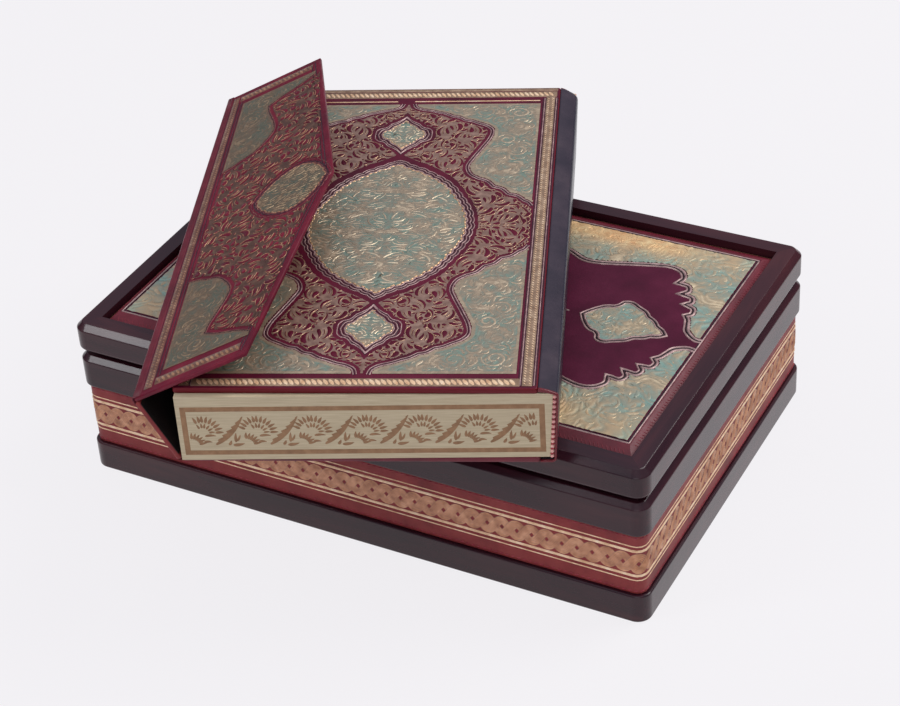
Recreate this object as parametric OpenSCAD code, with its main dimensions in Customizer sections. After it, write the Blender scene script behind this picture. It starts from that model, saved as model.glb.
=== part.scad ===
// Lacquered box with a framed leather lid, and the flap-bound book that it is made for.
// The box stands on Z = 0 with its front towards -Y. The book lies askew on the closed lid.

/* [Book] */
// Width of the book, fore edge to spine
book_w = 189; // [170:1:210]
// Height of the book, tail to head
book_h = 299; // [270:1:330]
// Thickness of the book over both covers
book_t = 45; // [38:1:52]
// Thickness of the board in each cover
board_t = 2; // [1.6:0.1:3]
// Thickness of the cover leather
leather_t = 0.6; // [0.4:0.1:1]
// Margin by which the covers overhang the pages
cover_square = 0.8; // [0.5:0.1:7]
// Turn-in of the cover leather inside each board
turn_in = 15; // [8:1:25]
// How far the spine stands out behind the covers near its top
spine_out = 10; // [7:0.5:12]
// How far the spine stands out behind the covers at its foot
spine_foot = 8; // [5:0.5:10]
// Drop of the spine's shoulder from the front cover
spine_drop = 2.5; // [1:0.1:4]
// Radius along the spine's upper edge
spine_top_r = 2.5; // [2:0.1:5]
// Radius along the spine's foot
spine_foot_r = 2.5; // [2:0.1:5]
// Thickness of the spine leather
spine_t = 1.2; // [0.8:0.1:1.6]
// Set-back of the head and tail bands behind the covers' edges
headband_in = 0.2; // [0.1:0.05:0.3]
// Width of the head and tail bands along the pages' back
headband_w = 2.2; // [1.5:0.1:4]

/* [Flaps] */
// Length of the fore-edge flap, fold to fold
fore_flap_l = 40; // [34:1:44]
// Thickness of the fore-edge flap
fore_flap_t = 2.6; // [1.8:0.1:3.2]
// Lean of the fore-edge flap out from upright
fore_flap_lean = 29; // [20:1:40]
// Length of the envelope flap along its head and tail edges
env_side = 66.5; // [50:0.5:80]
// Length of the envelope flap to its point
env_point = 95.5; // [85:0.5:115]
// Thickness of the envelope flap
env_t = 2.4; // [1.8:0.1:3.2]
// Clearance round the folds, and under the flap where it rests on the cover
fold_clear = 0.3; // [0.2:0.1:0.6]

/* [Book place] */
// Place of the book's fore-edge tail corner along the box
book_x = -46.5; // [-60:0.5:-30]
// Place of the book's fore-edge tail corner across the box
book_y = -192; // [-200:1:-170]
// Turn of the book on the lid
book_turn = 22.8; // [10:0.1:35]

/* [Box] */
// Room beside the stored book at its head and tail
well_clear_l = 6; // [3:0.5:15]
// Room beside the stored book at its fore edge and spine
well_clear_w = 3.75; // [3:0.25:15]
// Thickness of the velvet-covered liner boards
liner_t = 2; // [1.5:0.1:4]
// Width of the plinth and the upper rails, outside to inside
rail_w = 12.5; // [11:0.5:16]
// Radius of the upright outer corners
corner_r = 8; // [6:0.5:10]
// Height of the plinth
plinth_h = 17.5; // [12:0.5:30]
// Height of the leather band
band_h = 39; // [30:0.5:55]
// Height of the upper rails
rail_h = 20; // [14:0.5:30]
// Bevel on the top edge of the upper rails
rail_bevel = 3; // [1.5:0.5:5]
// Radius that softens the lacquered edges
edge_r = 1.2; // [0.6:0.1:1.6]
// Thickness of the band leather
band_t = 1; // [0.6:0.1:1.5]
// Set-back of the band leather behind the rails
band_inset = 2; // [1:0.5:3]
// Open groove between the upper rails and the lid
lid_gap = 4; // [4:0.5:7]
// Thickness of the bottom panel
bottom_t = 6; // [4:0.5:10]
// Bearing of the bottom panel in the plinth's rebate
rebate_w = 4; // [2:0.5:6]
// Thickness of the floor board
floor_t = 4; // [3:0.5:6]
// Headroom over the stored book
well_headroom = 3; // [2:0.5:8]
// Width of each floor batten
batten_w = 20; // [12:1:40]
// Number of floor battens
batten_count = 3; // [2:1:5]
// Sliding clearance of the panels in their seats
seat_clear = 0.1; // [0.05:0.05:0.3]

/* [Lid] */
// Height of the lid frame
lid_h = 16.7; // [15:0.1:25]
// Width of the lid frame's top, outside to inside
frame_w = 12.5; // [11:0.5:16]
// Bevel on the top edge of the lid frame
lid_bevel = 3.5; // [1.5:0.5:5]
// Radius on the lower edge of the lid frame
lid_foot_r = 2; // [1:0.5:3]
// Depth of the lid leather below the frame's top
lid_recess = 1.3; // [0.8:0.1:3]
// Drop of the edging's seat below the raised lid field
edging_drop = 4; // [2:0.5:5]
// Thickness of the lid board
lid_board_t = 4; // [3:0.5:5]
// Depth of the groove that holds the lid board
groove_d = 4; // [2.5:0.5:5]
// Thickness of the velvet lining board inside the lid
lid_lining_t = 2; // [1.5:0.1:3]
// Width of the stitched leather edging along the lid's long sides
edging_w = 9.8; // [5:0.1:12]
// Width of the stitched leather edging at the lid's ends
edging_end_w = 5.3; // [4:0.1:12]
// Thickness of the edging and of every onlay
onlay_t = 0.6; // [0.3:0.1:1]
// Gap between the corner onlays and the edging
onlay_gap = 1; // [0.5:0.25:3]
// Reach of the lid's corner onlays along the long sides
lid_corner_l = 118; // [80:1:130]
// Reach of the lid's corner onlays along the short sides
lid_corner_w = 76; // [60:1:84]
// Length of the lid's centre medallion
lid_medallion_l = 108; // [60:1:120]
// Length of each lid pendant
lid_pendant_l = 54; // [30:1:60]
// Distance from the lid's centre to the middle of a pendant
lid_pendant_x = 105; // [90:1:112]

/* [Cover ornament] */
// Width of the border strips round the front cover
border_w = 13; // [8:0.5:18]
// Reach of the cover's corner onlays along the head and tail
cover_corner_w = 70; // [45:1:72]
// Reach of the cover's corner onlays along the sides
cover_corner_h = 108; // [70:1:112]
// Height of the cover medallion
cover_medallion_h = 133; // [90:1:138]
// Width of the cover medallion
cover_medallion_w = 95.5; // [60:0.5:100]
// Height of each cover pendant
cover_pendant_h = 45; // [30:1:48]
// Width of each cover pendant
cover_pendant_w = 35; // [24:1:40]
// Distance from the cover's centre to the middle of a pendant
cover_pendant_y = 95.5; // [92:0.5:98]
// Reach of the flap's corner onlays from the fold
flap_corner_w = 50; // [25:1:52]
// Reach of the flap's corner onlays along the fold
flap_corner_h = 80; // [50:1:90]
// Height of the flap medallion
flap_medallion_h = 46; // [30:1:50]
// Length of the flap medallion towards the flap's point
flap_medallion_l = 44; // [30:1:46]
// Distance of the flap medallion's middle from the fold
flap_medallion_s = 69.5; // [60:0.5:70]

/* [Hinges] */
// Length of each hinge along the box
hinge_l = 42; // [30:1:60]
// Distance of each hinge from the box's middle
hinge_x = 105; // [70:1:120]
// Thickness of a hinge leaf
leaf_t = 1.2; // [0.8:0.1:1.3]
// Width of a hinge leaf from the pin to its free edge
leaf_w = 10.5; // [9:0.5:11]
// Radius of the hinge pin
pin_r = 1; // [0.7:0.1:1.1]
// Running clearance round the hinge pin
pin_clear = 0.05; // [0.02:0.01:0.08]
// End gap between hinge knuckles
knuckle_gap = 0.4; // [0.2:0.1:1]
// Radius of the screw shanks
screw_r = 1; // [0.7:0.1:1.2]
// Radius of the screw heads
screw_head_r = 2; // [1.7:0.1:2.3]
// Length of the screws
screw_l = 8; // [6:0.5:9]
// Distance between the two screws of a leaf
screw_pitch = 26; // [18:1:32]

/* [Hidden] */
$fn = 48;
ARC_STEPS = 4;
LOBE_STEPS = 72;
TINY = 0.01;
// Grid that rail profiles snap to, so that straight stretches and round corners meet exactly
GRID = 0.001;
// Share of a corner's full-height part that the straight stretch runs into
LAP_SHARE = 0.7;

cover_t = board_t + 2 * leather_t;
cover_w = book_w - spine_out;
wall_total = rail_w + liner_t;
well_l = book_h + 2 * well_clear_l;
well_w = book_w + 2 * well_clear_w;
box_l = well_l + 2 * wall_total;
box_w = well_w + 2 * wall_total;

band_z = plinth_h;
rail_z = band_z + band_h;
rail_top = rail_z + rail_h;
lid_z = rail_top + lid_gap;
lid_top = lid_z + lid_h;
panel_z = lid_top - lid_recess;
edging_z = panel_z - edging_drop;
board_z = edging_z - lid_board_t;
lid_lip_w = wall_total + 2;
floor_top = lid_z - book_t - well_headroom;
opening_l = box_l - 2 * frame_w;
opening_w = box_w - 2 * frame_w;
field_l = opening_l - 2 * edging_end_w;
field_w = opening_w - 2 * edging_w;

hinge_z = rail_top + lid_gap / 2;
barrel_r = lid_gap / 2 - knuckle_gap / 2;
knuckle_l = (hinge_l - 2 * knuckle_gap) / 3;
screw_in = leaf_w / 2 + barrel_r / 2;

headband_d = cover_square - headband_in;
// Middles of the round upper edge and of the round foot, in a section of the spine
spine_top = [cover_w + spine_out - spine_top_r, book_t - spine_drop - spine_top_r];
spine_low = [cover_w + spine_foot - spine_foot_r, spine_foot_r];

fold_u = -(fore_flap_t / 2 + fold_clear);
fold_w = cover_t / 2;
fold2_u = fold_u - fore_flap_l * sin(fore_flap_lean);
fold2_w = fold_w + fore_flap_l * cos(fore_flap_lean);
rest_u = -fold2_u;
rest_w = book_t - fold2_w;
rest_span = norm([rest_u, rest_w]);
env_rise = atan2(rest_w, rest_u) + asin((env_t / 2 + fold_clear) / rest_span);

LACQUER = [0.13, 0.03, 0.05];
LEATHER = [0.38, 0.05, 0.09];
FOIL = [0.60, 0.60, 0.46];
VELVET = [0.30, 0.03, 0.06];
BRASS = [0.80, 0.62, 0.28];
PAPER = [0.86, 0.80, 0.68];
BOARD = [0.55, 0.45, 0.32];

function snap(x) = round(x / GRID) * GRID;

// Points on an arc about c from angle a0 to a1
function arc(c, r, a0, a1) = [
  for (i = [0 : ARC_STEPS])
    let (a = a0 + (a1 - a0) * i / ARC_STEPS, p = c + r * [cos(a), sin(a)]) [snap(p[0]), snap(p[1])]
];

// Rise along the outer face of a rail, from its foot to its bevelled top, as [depth, height] points
function bevelled_edge(h, bevel, foot_r) =
  let (ease = edge_r * tan(22.5), b = min(bevel, corner_r - ease - TINY))
  concat(
    [[corner_r, 0]],
    arc([foot_r, foot_r], foot_r, 270, 180),
    arc([edge_r, h - b - ease], edge_r, 180, 135),
    arc([b + ease, h - edge_r], edge_r, 135, 90),
    [[corner_r, h]]
  );

// Rise along the outer face of a rail with softly rounded edges
function eased_edge(h) =
  concat(
    [[corner_r, 0]],
    arc([edge_r, edge_r], edge_r, 270, 180),
    arc([edge_r, h - edge_r], edge_r, 180, 90),
    [[corner_r, h]]
  );

// One side of a mitred frame with round outer corners. It runs along X with its outer face at Y = 0.
// The outer edge is a list of [depth, height] points inside radius r, and the inner edge closes the section.
module frame_side(length, depth, outer, inner, r) {
  half = length / 2;
  tall = max([for (p = outer) p[1]]);
  // Past this depth the section stands full height, so the stretch can run into the corner there
  full = max([for (i = [1:len(outer) - 2]) outer[i][0]]);
  lap = snap((r - full) * LAP_SHARE);
  intersection() {
    rotate([90, 0, 90]) linear_extrude(length, center = true) polygon(concat(outer, inner));
    translate([0, 0, -TINY]) linear_extrude(tall + 2 * TINY) polygon([
      [r - half, 0], [half - r, 0], [half - r, full], [half - r + lap, r - lap], [half - depth, depth],
      [depth - half, depth], [r - half - lap, r - lap], [r - half, full]
    ]);
  }
  for (end = [0, 1]) mirror([end, 0, 0]) translate([half - r, r, 0]) rotate([0, 0, -90])
    rotate_extrude(angle = 45) polygon([for (p = outer) [r - p[0], p[1]]]);
}

// Places a frame side, drawn along X, on one side of a frame of the given size
module on_side(side, l, w) {
  turn = side == "front" ? 0 : side == "right" ? 90 : side == "back" ? 180 : 270;
  reach = (side == "front" || side == "back") ? w / 2 : l / 2;
  rotate([0, 0, turn]) translate([0, -reach, 0]) children();
}

function side_length(side, l, w) = (side == "front" || side == "back") ? l : w;

// Rectangle with round corners, centred
module round_rect(l, w, r) {
  square([l - 2 * r, w], center = true);
  square([l, w - 2 * r], center = true);
  for (x = [-1, 1], y = [-1, 1]) translate([x * (l / 2 - r), y * (w / 2 - r)]) circle(r);
}

// Plate centred on Z, standing on height z
module plate(l, w, t, z) {
  translate([-l / 2, -w / 2, z]) cube([l, w, t]);
}

// Box

module plinth(side) {
  color(LACQUER) on_side(side, box_l, box_w)
    frame_side(side_length(side, box_l, box_w), rail_w, eased_edge(plinth_h), [
      [rail_w, plinth_h], [rail_w, bottom_t], [rail_w - rebate_w, bottom_t], [rail_w - rebate_w, 0]
    ], corner_r);
}

module bottom_panel() {
  inset = 2 * (rail_w - rebate_w + seat_clear);
  color(BOARD) plate(box_l - inset, box_w - inset, bottom_t, 0);
}

// Plan of one mitred side of a frame, drawn along X with its outer edge at Y = 0
module mitred_plan(len, depth) {
  polygon([[-len / 2, 0], [len / 2, 0], [len / 2 - depth, depth], [depth - len / 2, depth]]);
}

module wall(side) {
  in = band_inset + band_t;
  color(BOARD) translate([0, 0, band_z]) linear_extrude(band_h) intersection() {
    round_rect(box_l - 2 * in, box_w - 2 * in, corner_r - in);
    on_side(side, box_l, box_w) mitred_plan(side_length(side, box_l, box_w), rail_w);
  }
}

module leather_band() {
  out = band_inset;
  in = band_inset + band_t;
  color(LEATHER) translate([0, 0, band_z]) difference() {
    linear_extrude(band_h) round_rect(box_l - 2 * out, box_w - 2 * out, corner_r - out);
    translate([0, 0, -TINY]) linear_extrude(band_h + 2 * TINY)
      round_rect(box_l - 2 * in, box_w - 2 * in, corner_r - in);
  }
}

module upper_rail(side) {
  color(LACQUER) difference() {
    translate([0, 0, rail_z]) on_side(side, box_l, box_w)
      frame_side(side_length(side, box_l, box_w), rail_w, bevelled_edge(rail_h, rail_bevel, edge_r),
        [[rail_w, rail_h], [rail_w, 0]], corner_r);
    if (side == "back") base_screws(pin_clear);
  }
}

module floor_battens() {
  span = well_l - 2 * batten_w;
  color(BOARD) for (i = [0 : batten_count - 1])
    translate([-span / 2 + i * span / (batten_count - 1), 0, 0])
      plate(batten_w, well_w, floor_top - floor_t - bottom_t, bottom_t);
}

module floor_board() {
  color(VELVET) plate(well_l, well_w, floor_t, floor_top - floor_t);
}

module liner_long(sign) {
  color(VELVET) translate([0, sign * (well_w + liner_t) / 2, 0])
    plate(well_l + 2 * liner_t, liner_t, lid_z - bottom_t, bottom_t);
}

module liner_short(sign) {
  color(VELVET) translate([sign * (well_l + liner_t) / 2, 0, 0])
    plate(liner_t, well_w, lid_z - bottom_t, bottom_t);
}

// Hinges

// Moves to a hinge axis at the middle of the hinge, with X along the pin and Y out of the back
module at_hinge(sign) {
  translate([sign * hinge_x, box_w / 2, hinge_z]) children();
}

module along_pin(len, r, x0) {
  translate([x0, 0, 0]) rotate([0, 90, 0]) cylinder(h = len, r = r);
}

// A leaf plate with its knuckles. Each knuckle starts at one of the given places along the pin.
module leaf(plate_z, own, other) {
  difference() {
    union() {
      difference() {
        translate([-hinge_l / 2, -leaf_w, plate_z]) cube([hinge_l, leaf_w, leaf_t]);
        for (x = other) along_pin(knuckle_l + 2 * knuckle_gap, barrel_r + knuckle_gap, x - knuckle_gap);
      }
      for (x = own) along_pin(knuckle_l, barrel_r, x);
    }
    along_pin(hinge_l + 2, pin_r + pin_clear, -hinge_l / 2 - 1);
  }
}

knuckles = [for (i = [0 : 2]) -hinge_l / 2 + i * (knuckle_l + knuckle_gap)];

module base_leaf(sign) {
  color(BRASS) difference() {
    at_hinge(sign) leaf(-lid_gap / 2, [knuckles[0], knuckles[2]], [knuckles[1]]);
    base_screws(0);
  }
}

module lid_leaf(sign) {
  color(BRASS) difference() {
    at_hinge(sign) leaf(lid_gap / 2 - leaf_t, [knuckles[1]], [knuckles[0], knuckles[2]]);
    lid_screws(0);
  }
}

module hinge_pin(sign) {
  color(BRASS) at_hinge(sign) along_pin(hinge_l, pin_r, -hinge_l / 2);
}

// A countersunk screw pointing down, with its head flush at Z = 0 in a leaf
module screw(clear) {
  rotate_extrude() polygon([
    [0, 0], [screw_head_r, 0], [screw_r + clear, -leaf_t], [screw_r + clear, -screw_l - clear], [0, -screw_l - clear]
  ]);
}

module at_screws() {
  for (sign = [-1, 1], x = [-1, 1])
    translate([sign * hinge_x + x * screw_pitch / 2, box_w / 2 - screw_in, 0]) children();
}

module base_screws(clear) {
  at_screws() translate([0, 0, rail_top + leaf_t]) screw(clear);
}

module lid_screws(clear) {
  at_screws() translate([0, 0, lid_z - leaf_t]) mirror([0, 0, 1]) screw(clear);
}

module hinge_base_screws() { color(BRASS) base_screws(0); }

module hinge_lid_screws() { color(BRASS) lid_screws(0); }

// Lid

module lid_frame(side) {
  groove_z = board_z - lid_z;
  groove_top = groove_z + lid_board_t;
  color(LACQUER) difference() {
    translate([0, 0, lid_z]) on_side(side, box_l, box_w)
      frame_side(side_length(side, box_l, box_w), lid_lip_w, bevelled_edge(lid_h, lid_bevel, lid_foot_r), [
        [frame_w, lid_h], [frame_w, groove_top], [frame_w - groove_d, groove_top],
        [frame_w - groove_d, groove_z], [lid_lip_w, groove_z], [lid_lip_w, 0]
      ], corner_r);
    if (side == "back") lid_screws(pin_clear);
  }
}

module lid_board() {
  grow = 2 * (groove_d - seat_clear);
  color(BOARD) {
    plate(opening_l + grow, opening_w + grow, lid_board_t, board_z);
    // Raised field, which carries the lid leather
    plate(field_l, field_w, panel_z - leather_t - board_z, board_z);
  }
}

module lid_leather() {
  color(LEATHER) plate(field_l, field_w, leather_t, panel_z - leather_t);
}

module lid_edging() {
  color(LEATHER) difference() {
    plate(opening_l - 2 * seat_clear, opening_w - 2 * seat_clear, onlay_t, edging_z);
    plate(field_l + 2 * seat_clear, field_w + 2 * seat_clear, onlay_t + 2 * TINY, edging_z - TINY);
  }
}

module lid_lining() {
  l = box_l - 2 * (lid_lip_w + seat_clear);
  w = box_w - 2 * (lid_lip_w + seat_clear);
  color(VELVET) plate(l, w, lid_lining_t, board_z - lid_lining_t);
}

// Corner ornament: a leg along each border, joined by a hollow curve with a row of small lobes
function corner_outline(l, w, lobes, lobe) =
  concat([[0, 0], [l, 0]], [
    for (i = [1 : LOBE_STEPS - 1])
      let (s = i / LOBE_STEPS, a = 90 * s, bump = lobe * abs(sin(180 * lobes * s)))
      [l * pow(cos(a), 2.6) + bump * cos(a), w * pow(sin(a), 2.6) + bump * sin(a)]
  ], [[0, w]]);

// Pointed oval with a row of lobes round it
function medallion_outline(l, w, lobes, lobe, point) = [
  for (i = [0 : LOBE_STEPS - 1])
    let (a = 360 * i / LOBE_STEPS, k = 1 + lobe * abs(sin(lobes * a / 2)) + point * pow(abs(cos(a)), 12))
    [l / 2 * k / (1 + point) * cos(a), w / 2 * k * sin(a) / (1 + lobe)]
];

module flat_shape(points, t) {
  linear_extrude(t) polygon(points);
}

module in_corners(l, w, gap) {
  for (x = [0, 1], y = [0, 1]) mirror([x, 0, 0]) mirror([0, y, 0])
    translate([-l / 2 + gap, -w / 2 + gap, 0]) children();
}

module lid_corner_onlays() {
  color(FOIL) translate([0, 0, panel_z]) in_corners(field_l, field_w, onlay_gap)
    flat_shape(corner_outline(lid_corner_l, lid_corner_w, 5, 4), onlay_t);
}

module lid_medallion() {
  color(FOIL) translate([0, 0, panel_z])
    flat_shape(medallion_outline(lid_medallion_l, lid_medallion_l * 0.75, 16, 0.06, 0.12), onlay_t);
}

module lid_pendants() {
  color(FOIL) for (x = [-1, 1]) translate([x * lid_pendant_x, 0, panel_z])
    flat_shape(medallion_outline(lid_pendant_l, lid_pendant_l * 0.64, 6, 0.1, 0.3), onlay_t);
}

// Book

// Book frame: X from the fore edge to the spine, Y from tail to head, Z up from the back cover
module in_book() {
  translate([book_x, book_y, lid_top]) rotate([0, 0, book_turn]) children();
}

// A cover's leather: a wrap round the board, open inside the turn-ins
module cover_leather(window_z) {
  difference() {
    cube([cover_w, book_h, cover_t]);
    translate([leather_t, leather_t, leather_t])
      cube([cover_w - 2 * leather_t, book_h - 2 * leather_t, board_t]);
    translate([turn_in, turn_in, window_z]) cube([cover_w - 2 * turn_in, book_h - 2 * turn_in, leather_t + TINY]);
  }
}

module cover_board() {
  translate([leather_t, leather_t, leather_t]) cube([cover_w - 2 * leather_t, book_h - 2 * leather_t, board_t]);
}

module endpaper() {
  in = turn_in + seat_clear;
  translate([in, in, 0]) cube([cover_w - 2 * in, book_h - 2 * in, leather_t]);
}

module on_front() {
  translate([0, 0, book_t - cover_t]) children();
}

module back_board() { color(BOARD) in_book() cover_board(); }

module back_cover_leather() { color(LEATHER) in_book() cover_leather(cover_t - leather_t); }

module back_endpaper() { color(PAPER) in_book() translate([0, 0, cover_t - leather_t]) endpaper(); }

module front_board() { color(BOARD) in_book() on_front() cover_board(); }

module front_cover_leather() { color(LEATHER) in_book() on_front() cover_leather(-TINY); }

module front_endpaper() { color(PAPER) in_book() on_front() endpaper(); }

// Draws a section of the book, with X across it and Y up, from tail to head between two places
module book_section(v0, v1) {
  translate([0, v1, 0]) rotate([90, 0, 0]) linear_extrude(v1 - v0) children();
}

// Outline of the spine's section at a depth below its surface: a foot, a leaning back and a sloping shoulder
function spine_section(depth) = concat(
  [[cover_w, depth]],
  arc(spine_low, spine_foot_r - depth, -90, 0),
  arc(spine_top, spine_top_r - depth, 0, 90),
  [[cover_w, book_t - depth]]
);

// Back of the pages behind u, inside the spine and between the covers
module page_back(u) {
  intersection() {
    union() {
      polygon(spine_section(spine_t + seat_clear));
      translate([u, 0]) square([cover_w - u + TINY, book_t]);
    }
    translate([u, cover_t]) square([book_w - u, book_t - 2 * cover_t]);
  }
}

module text_block() {
  color(PAPER) in_book() book_section(cover_square, book_h - cover_square) page_back(cover_square);
}

module spine() {
  color(LEATHER) in_book() book_section(0, book_h) difference() {
    polygon(spine_section(0));
    polygon(spine_section(spine_t));
  }
}

module headband(v0) {
  in_book() book_section(v0, v0 + headband_d) difference() {
    page_back(cover_w);
    translate([-headband_w, 0]) page_back(cover_w - headband_w);
  }
}

module tail_band() { color(PAPER) headband(cover_square - headband_d); }

module head_band() { color(PAPER) headband(book_h - cover_square); }

// The front cover's middle, inside its borders
module on_cover_middle() {
  in_book() translate([cover_w / 2, book_h / 2, book_t]) children();
}

module cover_corner_onlays() {
  color(FOIL) on_cover_middle() in_corners(cover_w - 2 * border_w, book_h - 2 * border_w, onlay_gap)
    flat_shape(corner_outline(cover_corner_w, cover_corner_h, 4, 3), onlay_t);
}

module cover_medallion() {
  color(FOIL) on_cover_middle()
    rotate([0, 0, 90]) flat_shape(medallion_outline(cover_medallion_h, cover_medallion_w, 20, 0.04, 0.08), onlay_t);
}

module cover_pendants() {
  color(FOIL) for (y = [-1, 1]) on_cover_middle() translate([0, y * cover_pendant_y, 0])
    rotate([0, 0, 90]) flat_shape(medallion_outline(cover_pendant_h, cover_pendant_w, 4, 0.15, 0.2), onlay_t);
}

// Flaps

// Fore-edge flap frame: X along the flap from its fold at the back cover, Z away from the book
module in_fore_flap() {
  in_book() translate([fold_u, 0, fold_w]) rotate([0, -90 - fore_flap_lean, 0]) children();
}

// Envelope flap frame: X from the second fold to the point, Z up from the book
module in_env_flap() {
  in_book() translate([fold2_u, 0, fold2_w]) rotate([0, -env_rise, 0]) children();
}

// A round leather roll along a fold
module fold_roll(t) {
  rotate([-90, 0, 0]) cylinder(h = book_h, r = t / 2);
}

module fore_edge_flap() {
  len = fore_flap_l - env_t / 2 - fold_clear;
  color(LEATHER) in_fore_flap() {
    fold_roll(fore_flap_t);
    translate([0, 0, -fore_flap_t / 2]) cube([len, book_h, fore_flap_t]);
  }
}

module envelope_flap() {
  color(LEATHER) in_env_flap() {
    fold_roll(env_t);
    translate([0, 0, -env_t / 2]) linear_extrude(env_t) polygon([
      [0, 0], [env_side, 0], [env_point, book_h / 2], [env_side, book_h], [0, book_h]
    ]);
  }
}

module flap_corner_onlays() {
  color(FOIL) in_env_flap() translate([0, book_h / 2, env_t / 2])
    for (y = [0, 1]) mirror([0, y, 0]) translate([border_w, border_w - book_h / 2, 0])
      flat_shape(corner_outline(flap_corner_w, flap_corner_h, 3, 2.5), onlay_t);
}

module flap_medallion() {
  color(FOIL) in_env_flap() translate([flap_medallion_s, book_h / 2, env_t / 2])
    flat_shape(medallion_outline(flap_medallion_l, flap_medallion_h, 8, 0.06, 0.25), onlay_t);
}

plinth("front");  // plinth_front
plinth("back");  // plinth_back
plinth("left");  // plinth_left
plinth("right");  // plinth_right
bottom_panel();
wall("front");  // wall_front
wall("back");  // wall_back
wall("left");  // wall_left
wall("right");  // wall_right
leather_band();
upper_rail("front");  // rail_front
upper_rail("back");  // rail_back
upper_rail("left");  // rail_left
upper_rail("right");  // rail_right
floor_battens();
floor_board();
liner_long(-1);  // liner_front
liner_long(1);  // liner_back
liner_short(-1);  // liner_left
liner_short(1);  // liner_right
base_leaf(-1);  // hinge_base_leaf_left
base_leaf(1);  // hinge_base_leaf_right
hinge_pin(-1);  // hinge_pin_left
hinge_pin(1);  // hinge_pin_right
hinge_base_screws();
lid_frame("front");  // lid_frame_front
lid_frame("back");  // lid_frame_back
lid_frame("left");  // lid_frame_left
lid_frame("right");  // lid_frame_right
lid_board();
lid_leather();
lid_edging();
lid_corner_onlays();
lid_medallion();
lid_pendants();
lid_lining();
lid_leaf(-1);  // hinge_lid_leaf_left
lid_leaf(1);  // hinge_lid_leaf_right
hinge_lid_screws();
back_board();
back_cover_leather();
back_endpaper();
text_block();
spine();
tail_band();
head_band();
front_board();
front_cover_leather();
front_endpaper();
cover_corner_onlays();
cover_medallion();
cover_pendants();
fore_edge_flap();
envelope_flap();
flap_corner_onlays();
flap_medallion();
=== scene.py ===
"""Looks of a lacquered box with a framed leather lid, and of the flap-bound book that lies on it."""

import math

import bpy
import numpy as np
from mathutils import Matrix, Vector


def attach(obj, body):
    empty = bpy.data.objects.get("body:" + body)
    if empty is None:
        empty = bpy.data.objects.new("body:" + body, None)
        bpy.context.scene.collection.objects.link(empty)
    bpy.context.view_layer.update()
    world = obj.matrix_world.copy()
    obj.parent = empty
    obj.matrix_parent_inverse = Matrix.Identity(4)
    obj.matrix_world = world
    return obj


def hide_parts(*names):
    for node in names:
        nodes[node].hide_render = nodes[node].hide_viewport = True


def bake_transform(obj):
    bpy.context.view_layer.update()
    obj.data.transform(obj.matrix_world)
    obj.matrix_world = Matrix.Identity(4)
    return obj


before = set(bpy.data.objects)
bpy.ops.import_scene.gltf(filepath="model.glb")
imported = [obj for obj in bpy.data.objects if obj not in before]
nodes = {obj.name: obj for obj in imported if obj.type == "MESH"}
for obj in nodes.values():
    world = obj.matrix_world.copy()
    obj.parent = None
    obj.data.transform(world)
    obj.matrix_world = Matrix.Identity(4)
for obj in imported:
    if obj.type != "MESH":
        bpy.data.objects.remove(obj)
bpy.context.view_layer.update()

MM = 0.001
X, Y, Z = np.eye(3)

# Sizes from the part, in millimetres
BOX_L = 340.0
BOX_W = 225.5
PANEL_Z = 95.9
LID_TOP = 97.2
OPEN_X = 157.4
OPEN_Y = 100.15
FIELD_X = 152.2
FIELD_Y = 90.45
EDGING_Z = 92.1
BAND_Z = 17.5
BAND_INSET = 2.0
BAND_R = 6.0
BOOK_T = 45.0
BOOK_H = 299.0
COVER_W = 179.0
COVER_T = 3.2
PAGE_IN = 0.8
PAGE_SKEW = 4.0
PAGE_REACH = 186.0
SPINE_TOP = (186.5, 40.0)
SPINE_LOW = (184.5, 2.5)
SPINE_R = 2.5
SPINE_T = 1.2
FORE_T = 2.6
FORE_L = 40.0
ENV_T = 2.4
ENV_SIDE = 66.5
ENV_POINT = 95.5
BOOK_TURN = math.radians(22.8)
FORE_LEAN = math.radians(29.0)
ENV_RISE = math.radians(25.647)
MID_U = COVER_W / 2
MID_V = BOOK_H / 2
BOOK_ORIGIN = np.array([-46.5, -192.0, LID_TOP])
FOLD_1 = np.array([-1.6, 1.6])
FOLD_2 = np.array([-20.992, 36.585])

# How far the soft upper fold is drawn in at the tail, how much further at the head, and over what reach
PULL_TAIL = 2.0
PULL_MORE = 1.8
PULL_REACH = 12.0

# Directions in the book's section, from the fore edge to the spine and up
FORE_DIR = np.array([-math.sin(FORE_LEAN), math.cos(FORE_LEAN)])
FORE_OUT = np.array([-math.cos(FORE_LEAN), -math.sin(FORE_LEAN)])
ENV_DIR = np.array([math.cos(ENV_RISE), math.sin(ENV_RISE)])
ENV_OUT = np.array([-math.sin(ENV_RISE), math.cos(ENV_RISE)])

BOOK_U = math.cos(BOOK_TURN) * X + math.sin(BOOK_TURN) * Y
BOOK_V = -math.sin(BOOK_TURN) * X + math.cos(BOOK_TURN) * Y


def in_scene(direction):
    """A direction of the book's section, in the scene."""
    return direction[0] * BOOK_U + direction[1] * Z


def arrays(*values):
    """The values as float arrays of one shape."""
    return np.broadcast_arrays(*[np.asarray(value, float) for value in values])


def plane(origin, across, along, out):
    """A flat place. The function it gives takes arrays of across, along and height to scene points."""
    def at(a, b, h):
        a, b, h = arrays(a, b, h)
        return origin + a[..., None] * across + b[..., None] * along + h[..., None] * out
    return at


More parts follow.
